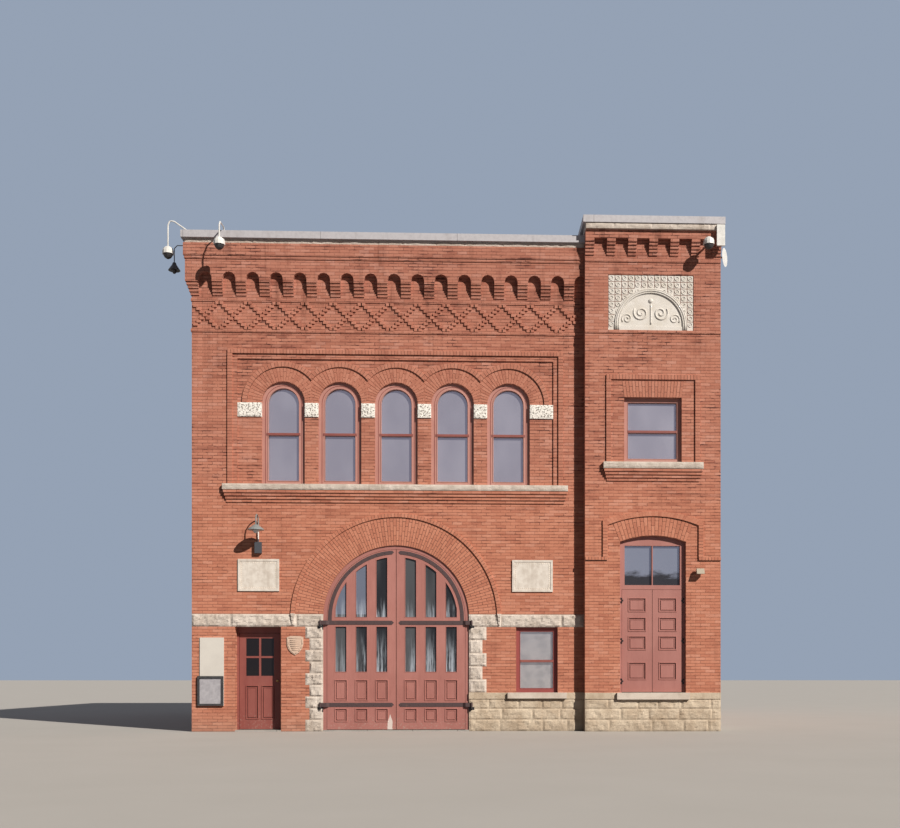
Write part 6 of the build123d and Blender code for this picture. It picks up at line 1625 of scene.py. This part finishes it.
def notice_board():
    """Black frame round the board and the bare sheet in it."""
    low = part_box("notice_boards")[0]
    rim = Shape()
    x0 = low.x
    x1 = x0 + NOTICE_WIDTH
    z0 = low.z
    z1 = z0 + NOTICE_HEIGHT
    edge = NOTICE_EDGE
    rails = [rectangle(x0, x1, z0, z0 + edge), rectangle(x0, x1, z1 - edge, z1)]
    rails += [rectangle(x, x + edge, z0 + edge, z1 - edge) for x in (x0, x1 - edge)]
    for rail in rails:
        block(rim, rail, FRONT - NOTICE_FACE, FRONT - NOTICE_BACK, 0.004)
    rim.piece("notice_frame", BLACK)
    sheet = Shape()
    plate(sheet, rectangle(x0 + edge, x1 - edge, z0 + edge, z1 - edge), FRONT - SHEET_FACE)
    sheet.piece("notice_sheet", PAPER)


def meeting_rail(bars, x, half, level, face):
    """The dark bar where the two sashes of a window meet."""
    outline = rectangle(x - half, x + half, level - RAIL_HALF, level + RAIL_HALF)
    block(bars, outline, face - RAIL_PROUD, face + RAIL_BACK, 0.005)


def square_sashes(beads, bars):
    """Beads and meeting rails of the tower window and of the window beside the engine doors."""
    half = TOWER_WINDOW_WIDTH / 2 - SASH_STILE
    low = TOWER_WINDOW_LOW + SASH_STILE
    high = TOWER_WINDOW_HIGH - SASH_STILE
    face = TOWER_FRONT + SASH_RECESS
    bead_frame(beads, rectangle(TOWER_X - half, TOWER_X + half, low, high), face)
    meeting_rail(bars, TOWER_X, half, TOWER_WINDOW_LOW + TOWER_MEETING, face)
    x = TOWER_LEFT - GROUND_WINDOW_FROM_TOWER
    half = PLAIN_HALF - SASH_STILE
    low = BASE_TOP + SASH_STILE
    high = BELT_LOW.z - SASH_STILE
    face = FRONT + SASH_RECESS
    bead_frame(beads, rectangle(x - half, x + half, low, high), face)
    meeting_rail(bars, x, half, BASE_TOP + GROUND_MEETING, face)


def sash_lines():
    """Beads round the panes of the front windows and dark bars on their meeting rails."""
    beads = Shape()
    bars = Shape()
    inner = WINDOW_RADIUS - ROUND_STILE
    outer = inner + LINE_GAP
    face = FRONT + SASH_RECESS
    for x in WINDOW_XS:
        low = SILL_TOP + SASH_STILE
        points = half_round(x, WINDOW_SPRING, inner, low, face, ROUND_CHORDS)
        tube(beads, points[-1:] + points, SASH_BEAD, 6)
        low = SILL_TOP + LINE_FOOT
        tube(bars, half_round(x, WINDOW_SPRING, outer, low, face, ROUND_CHORDS), LINE_RADIUS, 6)
        meeting_rail(bars, x, inner + RAIL_LAP, SILL_TOP + ROUND_MEETING, face)
    square_sashes(beads, bars)
    beads.piece("sash_beads", FRAME_PAINT)
    bars.piece("meeting_bars", SOMBRE_PAINT)


# Ironwork and joinery

def leaf_bolts():
    """Round bolt heads along the straps of both engine door leaves."""
    for side, name in LEAVES:
        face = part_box(f"apparatus_{name}_leaf")[0].y - STRAP_FACE
        shape = Shape()
        spots = []
        for z in (LOW_STRAP, ARCH_SPRING - HIGH_STRAP_DROP):
            spots += [(ARCH_X + side * (BOLT_START + BOLT_GAP * i), z) for i in range(STRAP_BOLTS)]
        for i in range(CURVED_BOLTS):
            x, z = ring_point(0, ARCH_SPRING, CURVED_STRAP, CURVED_START + CURVED_STEP * i)
            spots.append((ARCH_X + side * x, z))
        for x, z in spots:
            boss(shape, x, z, BOLT_RADIUS, face, STUD_RISE, 8)
        body = f"apparatus_door_{name}"
        shape.piece(f"{name}_strap_bolts", STRAP_IRON, body=body, smooth=True)


def inset(outline, reach):
    """The closed outline moved inwards, with mitred corners."""
    turn = 1 if outline_area(outline) > 0 else -1
    normals = []
    for (x0, z0), (x1, z1) in zip(outline, outline[1:] + outline[:1]):
        length = max(math.hypot(x1 - x0, z1 - z0), 1e-6)
        normals.append((-turn * (z1 - z0) / length, turn * (x1 - x0) / length))
    moved = []
    for (x, z), (ax, az), (bx, bz) in zip(outline, normals[-1:] + normals[:-1], normals):
        share = reach / max(1 + ax * bx + az * bz, 0.4)
        moved.append((x + (ax + bx) * share, z + (az + bz) * share))
    return moved


def bead_frame(shape, outline, face, width=BEAD):
    """A mitred moulding along a closed outline, half of its width inside and half outside."""
    if outline_area(outline) < 0:
        outline = outline[::-1]
    lines = ((-width / 2, 0.0), (-width / 5, width / 2), (width / 5, width / 2), (width / 2, 0.0))
    corners = []
    for reach, lift in lines:
        corners += [(x, face - lift, z) for x, z in inset(outline, reach)]
    count = len(outline)
    faces = []
    for line in range(3):
        for i in range(count):
            j = (i + 1) % count
            near = line * count
            far = near + count
            faces.append((near + i, near + j, far + j, far + i))
    shape.add(corners, faces)


def light_outline(offset, side):
    """Corners of one arched light, with its sloped head as a few chords."""
    half = LIGHT_WIDTH / 2
    inner = offset - half
    outer = offset + half
    bottom = ARCH_SPRING + HIGH_LIGHT_RISE
    reach = HIGH_LIGHT_RADIUS
    last = outer if outer < reach else math.sqrt(reach ** 2 - HIGH_LIGHT_RISE ** 2)
    corners = [(inner, bottom), (last, bottom)]
    for i in range(LIGHT_CHORDS + 1):
        x = last + (inner - last) * i / LIGHT_CHORDS
        z = ARCH_SPRING + math.sqrt(max(reach ** 2 - x ** 2, 0))
        if z > bottom + 0.004:
            corners.append((x, z))
    return [(ARCH_X + side * x, z) for x, z in corners]


def leaf_beads():
    """Mouldings round the lights of the engine doors."""
    for side, name in LEAVES:
        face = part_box(f"apparatus_{name}_leaf")[0].y + BEAD_SINK
        shape = Shape()
        half = LIGHT_WIDTH / 2
        for offset in LIGHT_OFFSETS:
            x = ARCH_X + side * offset
            low, high = LOW_LIGHT
            bead_frame(shape, rectangle(x - half, x + half, low, high), face)
            bead_frame(shape, light_outline(offset, side), face)
        shape.piece(f"{name}_light_beads", ENGINE_PAINT, body=f"apparatus_door_{name}")


def panel_beads(shape, x, half, low, high, face):
    """Two mouldings of a sunk panel: at its edge and round its raised field."""
    outline = rectangle(x - half, x + half, low, high)
    bead_frame(shape, outline, face, PANEL_BEAD)
    bead_frame(shape, inset(outline, PANEL_MARGIN), face + FIELD_DROP, FIELD_BEAD)


def engine_panels():
    """Mouldings of the sunk panels under the lights of the engine doors."""
    for side, name in LEAVES:
        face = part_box(f"apparatus_{name}_leaf")[0].y
        shape = Shape()
        for offset in LIGHT_OFFSETS:
            for low, high in ENGINE_PANELS:
                panel_beads(shape, ARCH_X + side * offset, ENGINE_PANEL_HALF, low, high, face)
        shape.piece(f"{name}_panel_beads", ENGINE_PAINT, body=f"apparatus_door_{name}")


def tower_panels():
    """Mouldings of the sunk panels of the tower's door leaves."""
    for name in ("left", "right"):
        low_corner, high_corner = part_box(f"tower_door_{name}_leaf")
        x = (low_corner.x + high_corner.x) / 2
        half = (high_corner.x - low_corner.x) / 2 - TOWER_STILE
        shape = Shape()
        for rise, height in TOWER_PANELS:
            low = low_corner.z + rise
            panel_beads(shape, x, half, low, low + height, low_corner.y)
        shape.piece(f"tower_{name}_panel_beads", DOOR_PAINT, body=f"tower_door_{name}")


def entry_panels():
    """Mouldings of the two sunk panels of the entry door."""
    low_corner, high_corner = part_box("entry_door_leaf")
    low, high = ENTRY_PANEL
    middle = (low_corner.x + high_corner.x) / 2
    half = (high_corner.x - low_corner.x - 2 * ENTRY_STILE - ENTRY_MULLION) / 4
    shape = Shape()
    for side in (-1, 1):
        x = middle + side * (ENTRY_MULLION / 2 + half)
        panel_beads(shape, x, half, low, high, low_corner.y)
    shape.piece("entry_panel_beads", SOMBRE_PAINT, body="entry_door")


# Stage, lights and camera

def stage():
    """A plain pale floor that sends little light back on to the walls."""
    floor_shape = bpy.data.meshes.new("floor")
    corners = [(x, y, 0) for x, y in rectangle(-FLOOR_REACH, FLOOR_REACH, -FLOOR_REACH, FLOOR_REACH)]
    floor_shape.from_pydata(corners, [], [(0, 1, 2, 3)])
    floor = bpy.data.objects.new("floor", floor_shape)
    bpy.context.scene.collection.objects.link(floor)
    material, s, inputs = new_material("studio_floor")
    grain = s.noise(s.place(), 0.6, 3.0)
    colour = s.mix(grain, (0.39, 0.375, 0.35, 1), (0.43, 0.415, 0.39, 1))
    bounced = s.add("ShaderNodeLightPath").outputs["Is Diffuse Ray"]
    s.put(inputs["Base Color"], s.mix(bounced, colour, (0.17, 0.165, 0.17, 1)))
    s.put(inputs["Roughness"], 0.9)
    floor.data.materials.append(material)


def lights():
    """One high key light, and a dim sky that is brighter behind the building."""
    sun = bpy.data.lights.new("key", "SUN")
    sun.energy = SUN_STRENGTH
    sun.angle = SUN_WIDTH
    sun.color = SUN_COLOUR
    lamp = bpy.data.objects.new("key", sun)
    lamp.rotation_euler = SUN_WAY.to_track_quat("-Z", "Y").to_euler()
    bpy.context.scene.collection.objects.link(lamp)
    world = bpy.data.worlds.new("studio")
    world.use_nodes = True
    s = Shader(world.node_tree)
    background = world.node_tree.nodes["Background"].inputs
    rays = s.add("ShaderNodeLightPath").outputs
    behind = s.clamped(s.split(s.add("ShaderNodeTexCoord").outputs["Generated"])["Y"], 0.0, 0.7)
    soft = s.mix(behind, (0.036, 0.043, 0.056, 1), (0.36, 0.38, 0.42, 1))
    plain = s.mix(rays["Is Glossy Ray"], soft, (0.36, 0.36, 0.43, 1))
    s.put(background["Color"], s.mix(rays["Is Camera Ray"], plain, (0.30, 0.36, 0.46, 1)))
    background["Strength"].default_value = 1.0
    bpy.context.scene.world = world


def camera():
    """The camera of the photograph, with its upward shift."""
    data = bpy.data.cameras.new("camera")
    data.sensor_width = SENSOR
    data.lens = FOCAL_PIXELS / PHOTO_WIDTH * SENSOR
    data.shift_x = (PHOTO_WIDTH / 2 - CENTRE_PIXEL[0]) / PHOTO_WIDTH
    data.shift_y = (CENTRE_PIXEL[1] - PHOTO_HEIGHT / 2) / PHOTO_WIDTH
    data.clip_end = VIEW_REACH
    thing = bpy.data.objects.new("camera", data)
    thing.location = CAMERA_PLACE
    thing.rotation_euler = (math.pi / 2, 0, CAMERA_TURN)
    bpy.context.scene.collection.objects.link(thing)
    bpy.context.scene.camera = thing


dress_frame()
brick_pieces()
stone_faces()
plaque_tiles()
lunette_mouldings()
tablet_borders()
label_stops()
shield_ribs()
notice_board()
sash_lines()
leaf_bolts()
leaf_beads()
engine_panels()
tower_panels()
entry_panels()
stage()
lights()
camera()
bpy.context.scene.view_settings.view_transform = "Standard"
